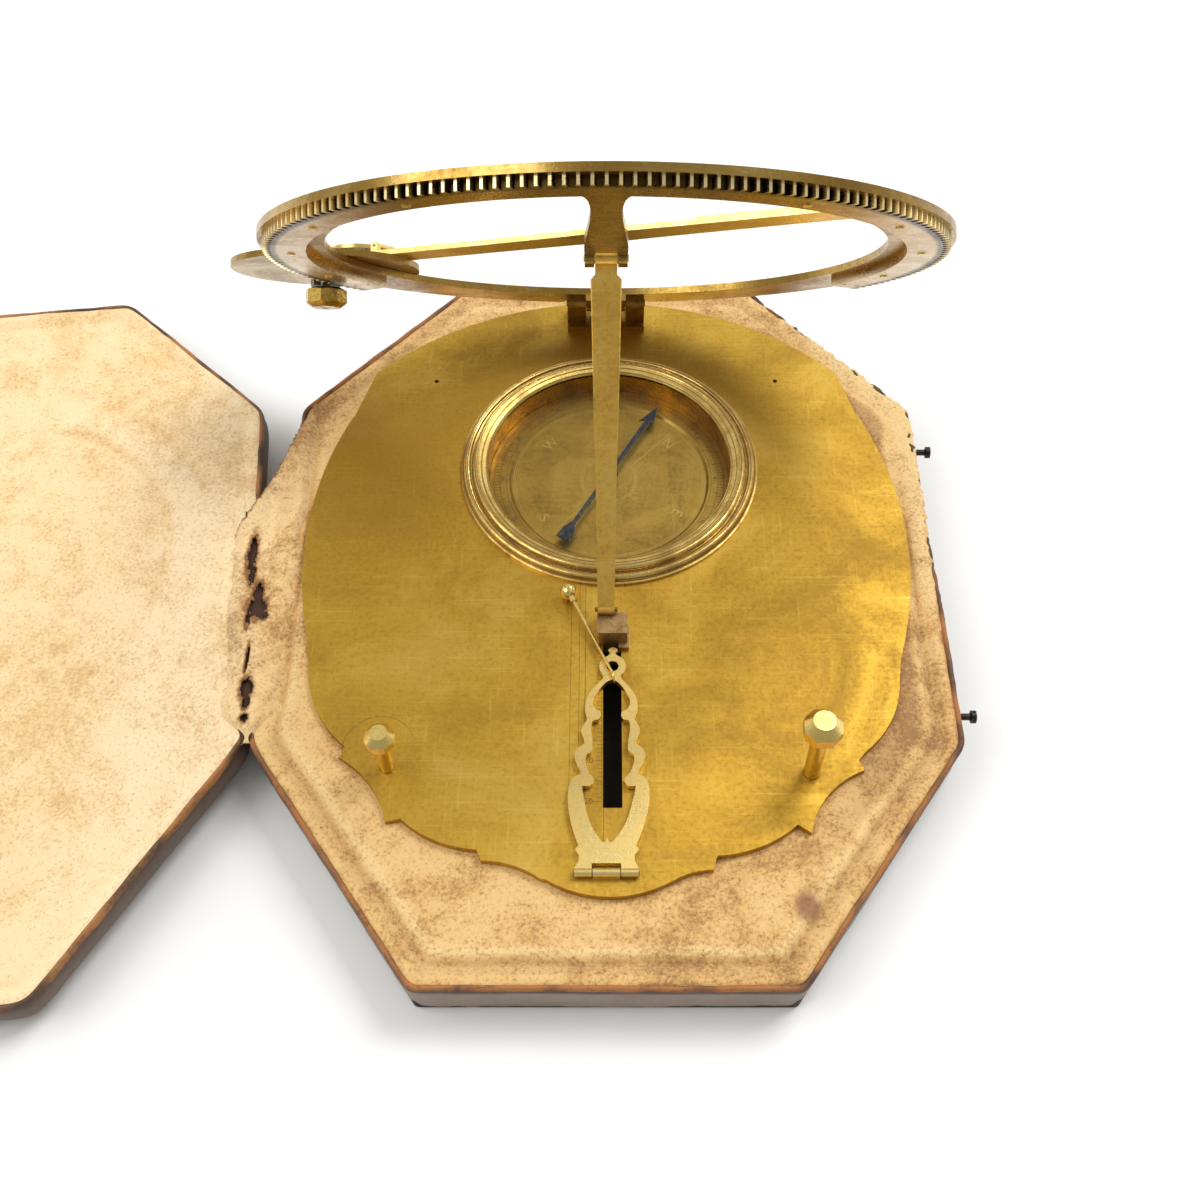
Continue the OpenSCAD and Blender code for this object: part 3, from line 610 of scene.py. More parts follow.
def loft(rings: Sequence[Sequence[Point]], tube: bool) -> tuple[list[Point], list[tuple[int, ...]]]:
    """Skins closed rings of equal length.

    Args:
        rings: The rings in order.
        tube: True joins the last ring to the first, False caps both ends.

    Returns:
        Points and faces.
    """
    points = [p for ring in rings for p in ring]
    count = len(rings[0])
    total = len(rings)
    faces = []
    for i in range(total if tube else total - 1):
        a = i * count
        b = (i + 1) % total * count
        faces += [(a + k, a + (k + 1) % count, b + (k + 1) % count, b + k) for k in range(count)]
    if not tube:
        faces.append(tuple(range(count)))
        faces.append(tuple((total - 1) * count + k for k in reversed(range(count))))
    return points, faces


def wobble(point: Point, size: float, seed: float = 0) -> float:
    """Smooth noise from -1 to 1 whose waves are about size millimetres long."""
    return noise.noise(Vector((point[0] / size + seed, point[1] / size - seed, point[2] / size + 2 * seed)))


def ease(value: float, low: float, high: float) -> float:
    """Smooth step from 0 at low to 1 at high."""
    t = min(1.0, max(0.0, (value - low) / (high - low)))
    return t * t * (3 - 2 * t)


def hump(value: float, centre: float, width: float) -> float:
    """Smooth hump of height 1 round a centre."""
    return math.exp(-(((value - centre) / width) ** 2))


def polar(radius: float, angle: float, centre: Flat = (0, 0)) -> Flat:
    """The point at a distance and a direction in degrees from a centre."""
    turn = math.radians(angle)
    return centre[0] + radius * math.cos(turn), centre[1] + radius * math.sin(turn)


class Engraver:
    """Collects fine strokes and figures on one plane as a single thin piece."""

    top: float = 0.012
    low: float = -0.038

    def __init__(self, frame: Matrix) -> None:
        """Keeps the frame that places the plane's x, y and normal, in millimetres.

        Args:
            frame: Places the plane in the part's frame.
        """
        self.frame = frame
        self.points: list[Point] = []
        self.faces: list[tuple[int, ...]] = []

    def _take(self, points: Sequence[Point], faces: Sequence[Sequence[int]]) -> None:
        """Adds one shape.

        Args:
            points: Its corners.
            faces: Its corner indices.
        """
        start = len(self.points)
        self.points += points
        self.faces += [tuple(start + i for i in face) for face in faces]

    def stroke(self, a: Flat, b: Flat, width: float = 0.12) -> None:
        """Cuts a straight line.

        Args:
            a: Where it starts.
            b: Where it ends.
            width: Width of the line.
        """
        share = width / 2 / math.dist(a, b)
        nx, ny = (a[1] - b[1]) * share, (b[0] - a[0]) * share
        sides = [(x + k * nx, y + k * ny) for k, (x, y) in ((-1, a), (-1, b), (1, b), (1, a))]
        rings = [[tuple(self.frame @ Vector((x, y, z))) for x, y in sides] for z in (self.low, self.top)]
        self._take(*loft(rings, False))

    def tick(self, angle: float, inner: float, outer: float, width: float = 0.12) -> None:
        """Cuts a radial line."""
        self.stroke(polar(inner, angle), polar(outer, angle), width)

    def circle(self, radius: float, width: float = 0.12, start: float = 0, stop: float = 360,
               centre: Flat = (0, 0)) -> None:
        """Cuts an arc as short strokes.

        Args:
            radius: Distance from the centre.
            width: Width of the line.
            start: First direction in degrees.
            stop: Last direction in degrees.
            centre: Centre of the arc.
        """
        count = max(8, int(abs(stop - start) / 4))
        step = (stop - start) / count
        for i in range(count):
            angle = start + step * i
            self.stroke(polar(radius, angle, centre), polar(radius, angle + 1.04 * step, centre), width)

    def figure(self, words: str, size: float, x: float, y: float, turn: float = 0) -> None:
        """Cuts figures or single letters, centred on a point.

        Args:
            words: What to cut.
            size: Height in millimetres.
            x: Place on the plane.
            y: Place on the plane.
            turn: Turn in degrees.
        """
        curve = bpy.data.curves.new("figure", "FONT")
        curve.body = words
        curve.size = size * 1.35
        curve.align_x = "CENTER"
        curve.align_y = "CENTER"
        curve.resolution_u = 3
        holder = bpy.data.objects.new("figure", curve)
        bpy.context.scene.collection.objects.link(holder)
        bpy.context.view_layer.update()
        mesh = bpy.data.meshes.new_from_object(holder)
        spot = self.frame @ Matrix.Translation((x, y, self.top))
        spot = spot @ Matrix.Rotation(math.radians(turn), 4, "Z")
        self._take([tuple(spot @ v.co) for v in mesh.vertices], [f.vertices for f in mesh.polygons])
        bpy.data.objects.remove(holder)
        bpy.data.meshes.remove(mesh)
        bpy.data.curves.remove(curve)

    def figures(self, words: Sequence[str], size: float, radius: float, first: float) -> None:
        """Cuts figures evenly and clockwise round a circle, and leaves a gap for an empty one.

        Args:
            words: What to cut, in order.
            size: Height of the words.
            radius: Distance from the centre.
            first: Direction of the first, in degrees.
        """
        for i, word in enumerate(words):
            angle = first - 360 / len(words) * i
            if word:
                self.figure(word, size, *polar(radius, angle), angle - 90)

    def finish(self, name: str, material: Material, body: str) -> Piece:
        """Makes the piece."""
        return add_piece(name, self.points, self.faces, material, body, smooth=False)


class Group:
    """A sub-assembly that gives CAD nodes their finishes and may add engraving."""

    finishes: ClassVar[dict[str, Finish]] = {}

    def dress(self, nodes: dict[str, Piece], paints: Paints) -> None:
        """Gives the group's nodes their finishes.

        Args:
            nodes: The frame's nodes by name.
            paints: The made finishes.
        """
        for name, finish in self.finishes.items():
            thing = nodes[name]
            for slot in thing.material_slots:
                slot.material = paints[finish]
            if not thing.material_slots:
                thing.data.materials.append(paints[finish])

    def engrave(self, paints: Paints) -> None:
        """Cuts the group's engraving, where it has any."""


# The case


@dataclass
class Octagon:
    """The case's outline as eight straight sides with softened corners."""

    half: float = 82.0
    deep: float = 103.7
    end: float = 41.0
    front: float = -46.0
    back: float = 57.0
    centre_y: float = 5.0

    def __post_init__(self) -> None:
        """Works out each side's normal and distance."""
        east = [(self.end, -self.deep), (self.half, self.front)]
        east += [(self.half, self.back), (self.end, self.deep)]
        corners = east + [(-x, y) for x, y in reversed(east)]
        self.sides = []
        for (x1, y1), (x2, y2) in zip(corners, corners[1:] + corners[:1]):
            length = math.hypot(x2 - x1, y2 - y1)
            nx, ny = (y2 - y1) / length, (x1 - x2) / length
            self.sides.append((nx, ny, nx * x1 + ny * (y1 - self.centre_y)))

    def edge(self, angle: float, inset: float, sharp: float) -> Flat:
        """The outline's point in one direction.

        Args:
            angle: Direction from the middle, in radians.
            inset: How far the outline is moved in.
            sharp: Higher values give sharper corners.

        Returns:
            The point in millimetres.
        """
        c, s = math.cos(angle), math.sin(angle)
        total = 0.0
        for nx, ny, distance in self.sides:
            facing = nx * c + ny * s
            if facing > 0.01:
                total += ((distance - inset) / facing / 100) ** -sharp
        reach = 100 * total ** (-1 / sharp)
        return reach * c, self.centre_y + reach * s

    def depth(self, x: float, y: float) -> float:
        """Distance in from the nearest side."""
        return min(d - nx * x - ny * (y - self.centre_y) for nx, ny, d in self.sides)


@dataclass
class Shell:
    """What the case's base and lid share."""

    outline: Octagon = field(default_factory=Octagon)
    around: int = 960
    corner: float = 150.0
    bridge_end: Flat = (40, 56)
    body: str = "case"

    def _bridged(self, x: float, y: float) -> float:
        """1 where the lining runs over the rim between base and lid."""
        return (1 - ease(x, -79, -74)) * ease(y, -47, -42) * (1 - ease(y, *self.bridge_end))

    def _skin(self, name: str, rows: Sequence[Sequence[float | None]], place: Callable[..., tuple],
              keys: Sequence[str], tube: bool, material: Material) -> Piece:
        """Makes a piece of closed rings.

        Args:
            name: Object name.
            rows: What place is told about each ring.
            place: Gives a point and its marks from a direction and a row.
            keys: The names of the marks.
            tube: Whether the last ring joins the first.
            material: Its finish.

        Returns:
            The new object.
        """
        angles = [2 * math.pi * k / self.around for k in range(self.around)]
        made = [[place(a, *row) for a in angles] for row in rows]
        points, faces = loft([[spot[0] for spot in ring] for ring in made], tube)
        marks = {key: [spot[i] for ring in made for spot in ring] for i, key in enumerate(keys, 1)}
        return add_piece(name, points, faces, material, self.body, marks=marks)


@dataclass
class CaseBase(Shell):
    """Leather-covered base with its soft lining."""

    deck: float = 12.85
    under: float = 11.2

    def _torn(self, x: float, y: float) -> float:
        """1 along the back right, where the cover has torn away."""
        return ease(x, 30, 62) * ease(y, -25, 35)

    def _cover(self, a: float, row: int, inset: float, z: float) -> tuple[Point, float, float]:
        """A point of the cover, how rubbed it is and how much it is wall.

        Args:
            a: Direction from the middle, in radians.
            row: Number of the ring.
            inset: How far in from the outline.
            z: Height before the dents.

        Returns:
            The point, the worn mark and the wall mark.
        """
        x, y = self.outline.edge(a, inset, self.corner)
        dent = 0.26 * wobble((x, y, z * 3), 16) + 0.16 * wobble((x, y, z * 3), 4, 3)
        torn = self._torn(x, y) * ease(z, 8, 13)
        dent += torn * (0.6 * wobble((x, y, 0), 7, 9) + 0.9 * wobble((x, y, 0), 1.6, 4) - 0.5)
        bulk = max(-2.2, min(0.3, dent)) if inset < 15 else 0
        x, y = self.outline.edge(a, inset + 0.3 - bulk, self.corner)
        sag = 0.22 * wobble((x, y, 0), 9, 5) * ease(z, 11, 13.5)
        sag -= torn * (0.35 + 1.1 * ease(wobble((x, y, 0), 4.5, 4), -0.5, 0.3))
        sag -= 0.9 * self._bridged(x, y) * ease(z, 11, 13.4)
        worn = max(0.0, 0.75 + 0.5 * wobble((x, y, 0), 7, 6)) * ease(row, 7.5, 9.5) * (1 - 0.6 * torn)
        wall = ease(z, 0.3, 1.4) * (1 - ease(z + 0.6 * wobble((x, y, 0), 8, 2), 10.8, 12.3))
        return (x, y, max(0.0, z + sag)), worn, wall

    def _pad(self, x: float, y: float, inset: float) -> Flat:
        """Height and colour mark of the lining at one place, with painted shade in the crease and a painted
        highlight on the ridge.

        Args:
            x: Place in millimetres.
            y: Place in millimetres.
            inset: How far in from the outline.

        Returns:
            The height and the soil mark.
        """
        bridged = self._bridged(x, y)
        back = 1 - 0.6 * ease(y, 10, 50)
        rippled = inset - 0.5 * wobble((x, y, 0), 12, 3)
        crease = hump(rippled, 6.4, 0.75) * back
        ridge = hump(rippled, 8.6, 1.3) * back
        table = 0.35 * ease(inset, 7, 8.6) * (1 - ease(inset, 13, 20))
        folds = 0.2 * wobble((x, y, 0), 11, 2) + 0.12 * wobble((x, y, 0), 3.5, 6)
        raised = (1 - bridged) * back * (0.7 * hump(inset, 3.0, 1.5) - 0.75 * crease + 0.3 * ridge)
        east = ease(x, 40, 70)
        rim = 1 - ease(inset + 0.8 * wobble((x, y, 0), 5, 8), 0.9, 2.2)
        # Painted shade darkens the crease and a painted highlight pales the ridge. The lining is also darker
        # along its outer edge, in a band inside the roll and towards the plate on the east side, and paler
        # at the east front.
        soil = 0.85 * rim + 0.5 * crease - 0.55 * ridge + 0.3 * hump(inset, 4.6, 1.2)
        soil -= 0.75 * east * ease(y, -30, 10) * hump(inset, 4.2, 2.6)
        soil += 0.7 * east * ease(inset + 2 * wobble((x, y, 0), 4, 2), 6.5, 9.5)
        z = self.deck + raised + table + folds * ease(inset, 1, 4)
        return z, soil * (1 - 0.7 * bridged) - 0.2 * bridged

    def _lining(self, a: float, inset: float, flat: float | None) -> tuple[Point, float]:
        """A point of the lining and its soil.

        Args:
            a: Direction from the middle, in radians.
            inset: How far in from the outline.
            flat: A plain height for the underside, or None.

        Returns:
            The point and the soil mark.
        """
        x, y = self.outline.edge(a, inset, self.corner)
        if flat:
            return (x, y, flat), 0.5
        torn = self._torn(x, y) * (1 - ease(inset, 1.5, 5))
        shift = 0.3 * wobble((math.cos(a) * 30, math.sin(a) * 30, 0), 5)
        shift += torn * (-0.45 - 0.7 * wobble((x, y, 0), 1.4, 9) - 0.5 * wobble((x, y, 0), 3.5, 4))
        x, y = self.outline.edge(a, inset + shift * (1 - ease(inset, 3, 9)), self.corner)
        z, soil = self._pad(x, y, inset)
        z -= 0.35 * (1 - ease(inset, 0.9, 1.7)) + torn * 0.6 * abs(wobble((x, y, 0), 1.5, 7))
        under = ease(inset, 14, 22)
        soil -= 0.9 * torn * (1 - ease(inset, 1.2, 3))
        return (x, y, z * (1 - under) + min(z, 12.5) * under), soil

    def build(self, paints: Paints) -> None:
        """Builds the leather cover and the chamois lining that shows round the plate.

        Args:
            paints: The made finishes.
        """
        profile = [(20, 0.05), (2.6, 0.0), (1.7, 0.25), (1.1, 1.0), (0.8, 2.6), (0.55, 5), (0.35, 8),
                   (0.15, 10.6), (0.02, 12.2), (0.05, 12.9), (0.25, 13.4), (0.6, 13.65), (1.0, 13.55),
                   (1.35, 13.1), (1.6, 11.8), (20, 11.6), (20, 0.5)]
        rows = [(row, *spot) for row, spot in enumerate(profile)]
        cover = self._skin("case_cover", rows, self._cover, ("worn", "wall"), False, paints[Finish.HIDE])
        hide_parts("case_leather")
        steps = [0.95, 1.1, 1.35, 1.7, 2.1, 2.6, 3.1, 3.6, 4.1, 4.6, 5.1, 5.6, 5.95, 6.3, 6.65, 7.0, 7.4,
                 7.9, 8.4, 8.9, 9.5, 10.2, 11.2, 12.5, 14, 16, 19, 23, 28, 32, 36]
        rows = [(inset, None) for inset in steps] + [(steps[-1], self.under), (steps[0], self.under)]
        pad = self._skin("case_pad", rows, self._lining, ("soil",), True, paints[Finish.LINING])
        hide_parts("case_lining")


@dataclass
class Lid(Shell):
    """The open lid: leather cover and pale pressed pad, drawn shut and swung open.

    Each pressed mark is an arc: its centre's x and y, radius, width, depth, side of its lip, and the
    directions in which it starts and stops.
    """

    around: int = 900
    corner: float = 90.0
    bridge_end: Flat = (24, 30)
    body: str = "lid"
    swing: float = 181.62
    slant: float = 2.5
    height: float = 9.0
    rim: float = 14.0
    gap: float = 0.4
    marks: tuple[tuple[float, ...], ...] = ((-160.4, 0.1, 64.6, 1.5, 0.75, -1, -30, 68),
                                            (-154.9, 6.5, 45.4, 1.4, 0.6, 1, -30, 78))
    dimple: Flat = (-121, -62)

    def __post_init__(self) -> None:
        """Works out what takes the shut lid's frame to where it lies open."""
        pin = Matrix.Translation((-self.outline.half, self.outline.front, self.rim))
        back = Matrix.Translation((self.outline.half, -self.outline.front, 0))
        yaw = Matrix.Rotation(math.radians(self.slant), 4, "Z")
        flip = Matrix.Rotation(math.radians(-self.swing), 4, "Y")
        self.frame = pin @ yaw @ flip @ yaw.inverted() @ back

    def _cover(self, a: float, row: int, inset: float, z: float) -> tuple[Point, float, float]:
        """A point of the cover, how rubbed it is and how much it is wall.

        Args:
            a: Direction from the middle, in radians.
            row: Number of the ring.
            inset: How far in from the outline.
            z: Height before the dents.

        Returns:
            The point, the worn mark and the wall mark.
        """
        x, y = self.outline.edge(a, inset, self.corner)
        dent = 0.28 * wobble((x, y, z * 3), 15, 7) + 0.15 * wobble((x, y, z * 3), 4, 1)
        bulk = max(-0.3, min(0.3, dent)) if inset < 15 else 0
        x, y = self.outline.edge(a, inset + self.gap + 0.3 - bulk, self.corner)
        sag = 0.22 * wobble((x, y, 0), 8, 8) * (1 - ease(z, 0.5, 3))
        z += sag + 0.9 * self._bridged(x, y) * (1 - ease(z, 0.6, 3))
        worn = max(0.0, 0.6 + 0.7 * wobble((x, y, 0), 9, 3)) * ease(row, 4.5, 6.5)
        z = min(self.height, max(0.0, z))
        return tuple(self.frame @ Vector((x, y, z))), worn, 1 - ease(row, 4, 6)

    def _pressed(self, x: float, y: float) -> Flat:
        """Depth and colour mark of the dents that the folded dial has pressed in the pad: painted shade in
        the grooves, painted highlights on their lips, and a painted paler right side.

        Args:
            x: Place in millimetres.
            y: Place in millimetres.

        Returns:
            The depth and the soil mark.
        """
        depth = 0.0
        soil = 0.0
        for cx, cy, radius, width, deep, side, start, stop in self.marks:
            reach = math.hypot(x - cx, y - cy)
            turn = math.degrees(math.atan2(y - cy, x - cx))
            fade = ease(turn, start - 14, start + 10) * (1 - ease(turn, stop - 10, stop + 14))
            fade *= 0.75 + 0.4 * wobble((x, y, 0), 17, 5)
            dip = hump(reach, radius, width)
            lip = hump(reach, radius + side * 2.6 * width, 1.8 * width)
            depth += deep * fade * (dip - 0.4 * lip)
            # Painted shade in each pressed groove and a painted highlight on its lip.
            soil += fade * (0.42 * dip - 0.45 * lip)
        dimple = hump(math.dist((x, y), self.dimple), 0, 3.5)
        # The pad's right side is painted paler: painted light against the hour ring's soft shadow there.
        return depth + 0.7 * dimple, soil + 0.3 * dimple - 0.45 * ease(x, -130, -98)

    def _lining(self, a: float, share: float, inset: float, flat: float | None) -> tuple[Point, float]:
        """A point of the pad and its soil.

        Args:
            a: Direction from the middle, in radians.
            share: Share of the way out from the middle.
            inset: How far in from the outline.
            flat: A plain height for the underside, or None.

        Returns:
            The point and the soil mark.
        """
        x, y = self.outline.edge(a, inset + self.gap, self.corner)
        x *= share
        y = self.outline.centre_y + (y - self.outline.centre_y) * share
        if flat:
            return tuple(self.frame @ Vector((x, y, flat))), 0.5
        depth = max(inset, self.outline.depth(x, y))
        shown = 1 - self._bridged(x, y)
        side = self.frame @ Vector((x, y, 0.9))
        dip, dirt = self._pressed(side.x, side.y)
        z = 1.1 + (0.4 * hump(depth, 6.2, 1.5) - 0.55 * hump(depth, 2.8, 1.5)) * shown + dip
        z += 0.22 * wobble((x, y, 0), 14, 4) + 0.1 * wobble((x, y, 0), 4, 9)
        z += 0.3 * (1 - ease(depth, 0.9, 1.7))
        rim = 0.9 * (1 - ease(depth + 0.7 * wobble((x, y, 0), 5, 8), 0.9, 1.9))
        soil = (rim + 0.18 * hump(depth, 6.2, 1.2)) * shown + dirt
        return tuple(self.frame @ Vector((x, y, max(0.12, z)))), soil

    def build(self, paints: Paints) -> None:
        """Builds the leather cover and the pale pad with its soft roll and pressed marks.

        Args:
            paints: The made finishes.
        """
        top = self.height
        profile = [(20, top - 0.05), (2.2, top), (0.9, top - 0.35), (0.2, top - 1.5), (0, 5), (0.1, 3.2),
                   (0.02, 1.9), (0.05, 1.1), (0.3, 0.55), (0.7, 0.4), (1.1, 0.6), (1.5, 1.4), (1.8, 2.6),
                   (20, 2.8), (20, top - 0.5)]
        rows = [(row, *spot) for row, spot in enumerate(profile)]
        cover = self._skin("lid_cover", rows, self._cover, ("worn", "wall"), False, paints[Finish.LID_HIDE])
        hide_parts("lid_leather")
        shares = [0.012, 0.03, 0.06] + [0.1 + 0.0125 * i for i in range(66)]
        insets = [8.6, 7.9, 7.2, 6.6, 6.0, 5.4, 4.8, 4.2, 3.6, 3.0, 2.5, 2.0, 1.6, 1.25, 1.0]
        rows = [(share, 9.4, None) for share in shares] + [(1, inset, None) for inset in insets]
        rows.append((1, insets[-1], 3.1))
        pad = self._skin("lid_pad", rows, self._lining, ("soil",), False, paints[Finish.LID_LINING])
        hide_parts("lid_lining")


@dataclass
class Spine:
    """Torn lining leather across the hinge line, from base to lid, with leather under it painted near black
    as painted shade for the gap.

    Each tear is its centre's x and y and its half widths along x and y.
    """

    front: float = -45.5
    back: float = 58.0
    apex: Flat = (-88.6, 26.0)
    climb: float = 3.2
    slant: float = 2.5
    half: float = 82.0
    turn: float = -46.0
    pin_y: float = -8.5
    pin_z: float = 14.0
    pin_reach: float = 1.2
    down: int = 260
    across: int = 64
    tears: tuple[tuple[float, float, float, float], ...] = (
        (-88.0, 7.2, 1.1, 5.4), (-87.2, 1.0, 0.8, 3.0), (-84.9, -4.6, 1.1, 3.4), (-84.6, -8.8, 2.2, 2.8),
        (-82.9, -10.9, 1.2, 1.3), (-86.4, -12.2, 0.6, 2.2), (-83.9, -31.6, 1.4, 2.9),
        (-83.5, -35.2, 0.9, 2.0), (-83.3, -39.6, 0.9, 1.2), (-84.9, -23.5, 0.4, 3.6))

    def _middle(self, y: float) -> Flat:
        """Middle of the gap and half its width at one place."""
        away = max(0.0, (y - self.turn) * math.tan(math.radians(self.slant)))
        return -self.half - away, away

    def _tear(self, x: float, y: float) -> float:
        """How near a place is to a tear or to the ragged back edge, 1 at its edge and more inside.

        Args:
            x: Place in millimetres.
            y: Place in millimetres.

        Returns:
            The nearness.
        """
        near = 0.0
        for cx, cy, rx, ry in self.tears:
            reach = math.hypot((x - cx) / rx, (y - cy) / ry) - 0.32 * wobble((x, y, 0), 0.9, 4)
            near = max(near, 1 / max(0.3, reach))
        past = x - self.apex[0]
        limit = self.apex[1] + (self.climb if past > 0 else 2.2) * past
        over = y - limit - 1.3 * wobble((x, y, 0), 1.7, 3) - 0.8 * wobble((x, y, 0), 0.7, 6)
        return max(near, 1 + over * 0.25 if over < 0 else 2.0)

    def _sheet(self, name: str, finish: Finish, paints: Paints, reach: Flat, back: float, low: float,
               torn: bool) -> Piece:
        """Builds one thin sheet across the hinge line.

        Args:
            name: Object name.
            finish: Its finish.
            paints: The made finishes.
            reach: How far it goes past the lid's rim and past the base's, in millimetres.
            back: Where it ends.
            low: How far it lies below the lining.
            torn: Whether it has the tears.

        Returns:
            The sheet.
        """
        points: list[Point] = []
        soil: list[float] = []
        for layer in (0, 1):
            for i in range(self.down + 1):
                y = self.front + (back - self.front) * i / self.down
                middle, away = self._middle(y)
                west, east = middle - away - reach[0], middle + away + reach[1]
                for j in range(self.across + 1):
                    t = j / self.across
                    x = west + (east - west) * t
                    taper = 0.3 + 0.7 * ease(y, self.front, self.front + 9)
                    x = middle + (x - middle) * taper
                    margin = min(x - middle - (west - middle) * taper, middle + (east - middle) * taper - x)
                    margin += 1.2 * wobble((x * 0.3, y, 0), 4, 7)
                    sag = 0.8 * (1 - ease(abs(x - middle), 0, away + 0.6)) * ease(away, 0, 3)
                    bury = 2.4 * (1 - ease(margin, 0, 4.5)) * torn
                    ruck = 0.3 * wobble((2 * x, y, 0), 5, 5) + 0.24 * wobble((2 * x, y, 0), 1.7, 2)
                    points.append((x, y, min(14.4, 14.15 - sag - bury + ruck) - low - 0.45 * layer))
                    near = self._tear(x, y)
                    clean = (1 - ease(x - middle, -1.5, 2.5)) * (1 - ease(near, 0.4, 0.7))
                    soil.append(ease(near, 0.5, 0.97) + 0.25 * wobble((x, y, 0), 2.5, 1) - 0.75 * clean)
        row, plane = self.across + 1, (self.down + 1) * (self.across + 1)
        kept = {(i, j) for i in range(self.down) for j in range(self.across)
                if not (torn and self._tear(*points[i * row + j][:2]) > 1)}
        faces = []
        for i, j in sorted(kept):
            a, b, c, d = i * row + j, i * row + j + 1, (i + 1) * row + j + 1, (i + 1) * row + j
            faces += [(a, b, c, d), (plane + d, plane + c, plane + b, plane + a)]
            sides = {(-1, 0): (b, a), (1, 0): (d, c), (0, -1): (a, d), (0, 1): (c, b)}
            for (di, dj), (p, q) in sides.items():
                if (i + di, j + dj) not in kept:
                    faces.append((p, q, plane + q, plane + p))
        sheet = add_piece(name, points, faces, paints[finish], None, marks={"soil": soil})
        middle = (self._middle(self.pin_y)[0], self.pin_y)
        start = tuple(c * MM for c in (*polar(self.pin_reach, self.slant, middle), self.pin_z))
        end = tuple(c * MM for c in (*polar(-self.pin_reach, self.slant, middle), self.pin_z))
        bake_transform(sheet)
        return sheet

    def build(self, paints: Paints) -> None:
        """Builds the torn lining and the leather under it, painted near black as painted shade, that shows
        through it.

        Args:
            paints: The made finishes.
        """
        lining = self._sheet("spine_lining", Finish.SPINE, paints, (8.0, 7.5), self.back, 0.0, True)
        # The near-black sheet under the tears is painted shade for the gap between base and lid.
        under = self._sheet("spine_leather", Finish.TORN, paints, (4.0, 2.5), 22.0, 1.2, False)
        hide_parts("spine_base", "spine_lid")


# The dial


@dataclass
class BasePlate(Group):
    """Engraving and finishes of the base plate and the case's hidden and black pieces."""

    top: float = 14.4
    slot_left: float = -0.75
    slot_front: float = -62.5
    pitch: float = 1.02
    finishes = {"base_plate": Finish.PLATE, "hinge_block": Finish.DARK, "hinge_screws": Finish.PALE,
                "hinge_pin": Finish.STEEL, "bracket_lug": Finish.PALE, "bracket_pin": Finish.STEEL,
                "back_foot": Finish.DARK, "case_core": Finish.BOARD, "lid_core": Finish.BOARD,
                "hook_pins": Finish.BLACK, "lid_hook_front": Finish.BLACK, "lid_hook_back": Finish.BLACK}

    def engrave(self, paints: Paints) -> None:
        """Cuts the latitude scale beside the slot and the scribed lines.

        Args:
            paints: The made finishes.
        """
        cut = Engraver(Matrix.Translation((0, 0, self.top)))
        left = self.slot_left - 0.25
        for i in range(41):
            y = self.slot_front + 1.6 + self.pitch * i
            cut.stroke((left, y), (left - (1.1 if i % 5 else 2.0), y), 0.1)
            if i in (0, 10, 20):
                cut.figure(str(20 + i), 1.5, left - 2.95, y)
        lines = [(x, self.slot_front + 0.8, -20) for x in (left - 0.05, left - 3.9)]
        lines += [(x, self.slot_front - 1, back) for x, back in ((-8.3, -4), (-6.3, 2), (left - 3.9, 4))]
        for x, front, back in lines:
            cut.stroke((x, front), (x, back), 0.1)
        cut.stroke((-0.6, self.slot_front - 0.3), (-0.6, -71.5), 0.12)
        cut.circle(8.2, 0.1, 20, 200, centre=(-51.5, -47.5))
        cut.finish("latitude_scale", paints[Finish.FAINT], "case")


@dataclass
class Compass(Group):
    """Card engraving and finishes of the compass."""

    centre: Flat = (0.8, 35.9)
    floor: float = 8.7
    step: float = 9.3
    figures: float = 27.7
    degrees: Point = (26.9, 28.6, 30.2)
    rose: tuple[float, ...] = (24.6, 25.1, 7.4, 6.9)
    finishes = {"compass_bowl": Finish.BOWL, "compass_card": Finish.CARD, "compass_pivot": Finish.STEEL,
                "compass_glass": Finish.WINDOW, "compass_bezel": Finish.BEZEL, "needle": Finish.BLUED,
                "needle_cap": Finish.BRASS}

    def engrave(self, paints: Paints) -> None:
        """Cuts degrees, figures, the rose and the declination line.

        Args:
            paints: The made finishes.
        """
        high = Engraver(Matrix.Translation((*self.centre, self.step)))
        _, inner, outer = self.degrees
        for i in range(180):
            high.tick(2 * i, inner if i % 5 else inner - 1, outer, 0.1)
        for r in self.degrees:
            high.circle(r, 0.1)
        high.figures([str(30 * min(i, 12 - i)) for i in range(12)], 1.1, self.figures, 90)
        high.finish("compass_degrees", paints[Finish.INK], "case")
        low = Engraver(Matrix.Translation((*self.centre, self.floor)))
        for letter, x, y in (("N", 15.8, 12.6), ("E", 17.6, -10.8), ("S", -16.5, -12.5), ("W", -15.5, 12.5)):
            low.figure(letter, 3.0, x, y, math.degrees(math.atan2(y, x)) - 90)
        for r in self.rose:
            low.circle(r, 0.14)
        for i in (1, 2, 3, 5, 6, 7):
            low.tick(45 * i, 7.4, 10.5)
        low.stroke((18.4, 18.4), (-13.1, -15.8), 0.2)
        low.finish("compass_rose", paints[Finish.CUT], "case")


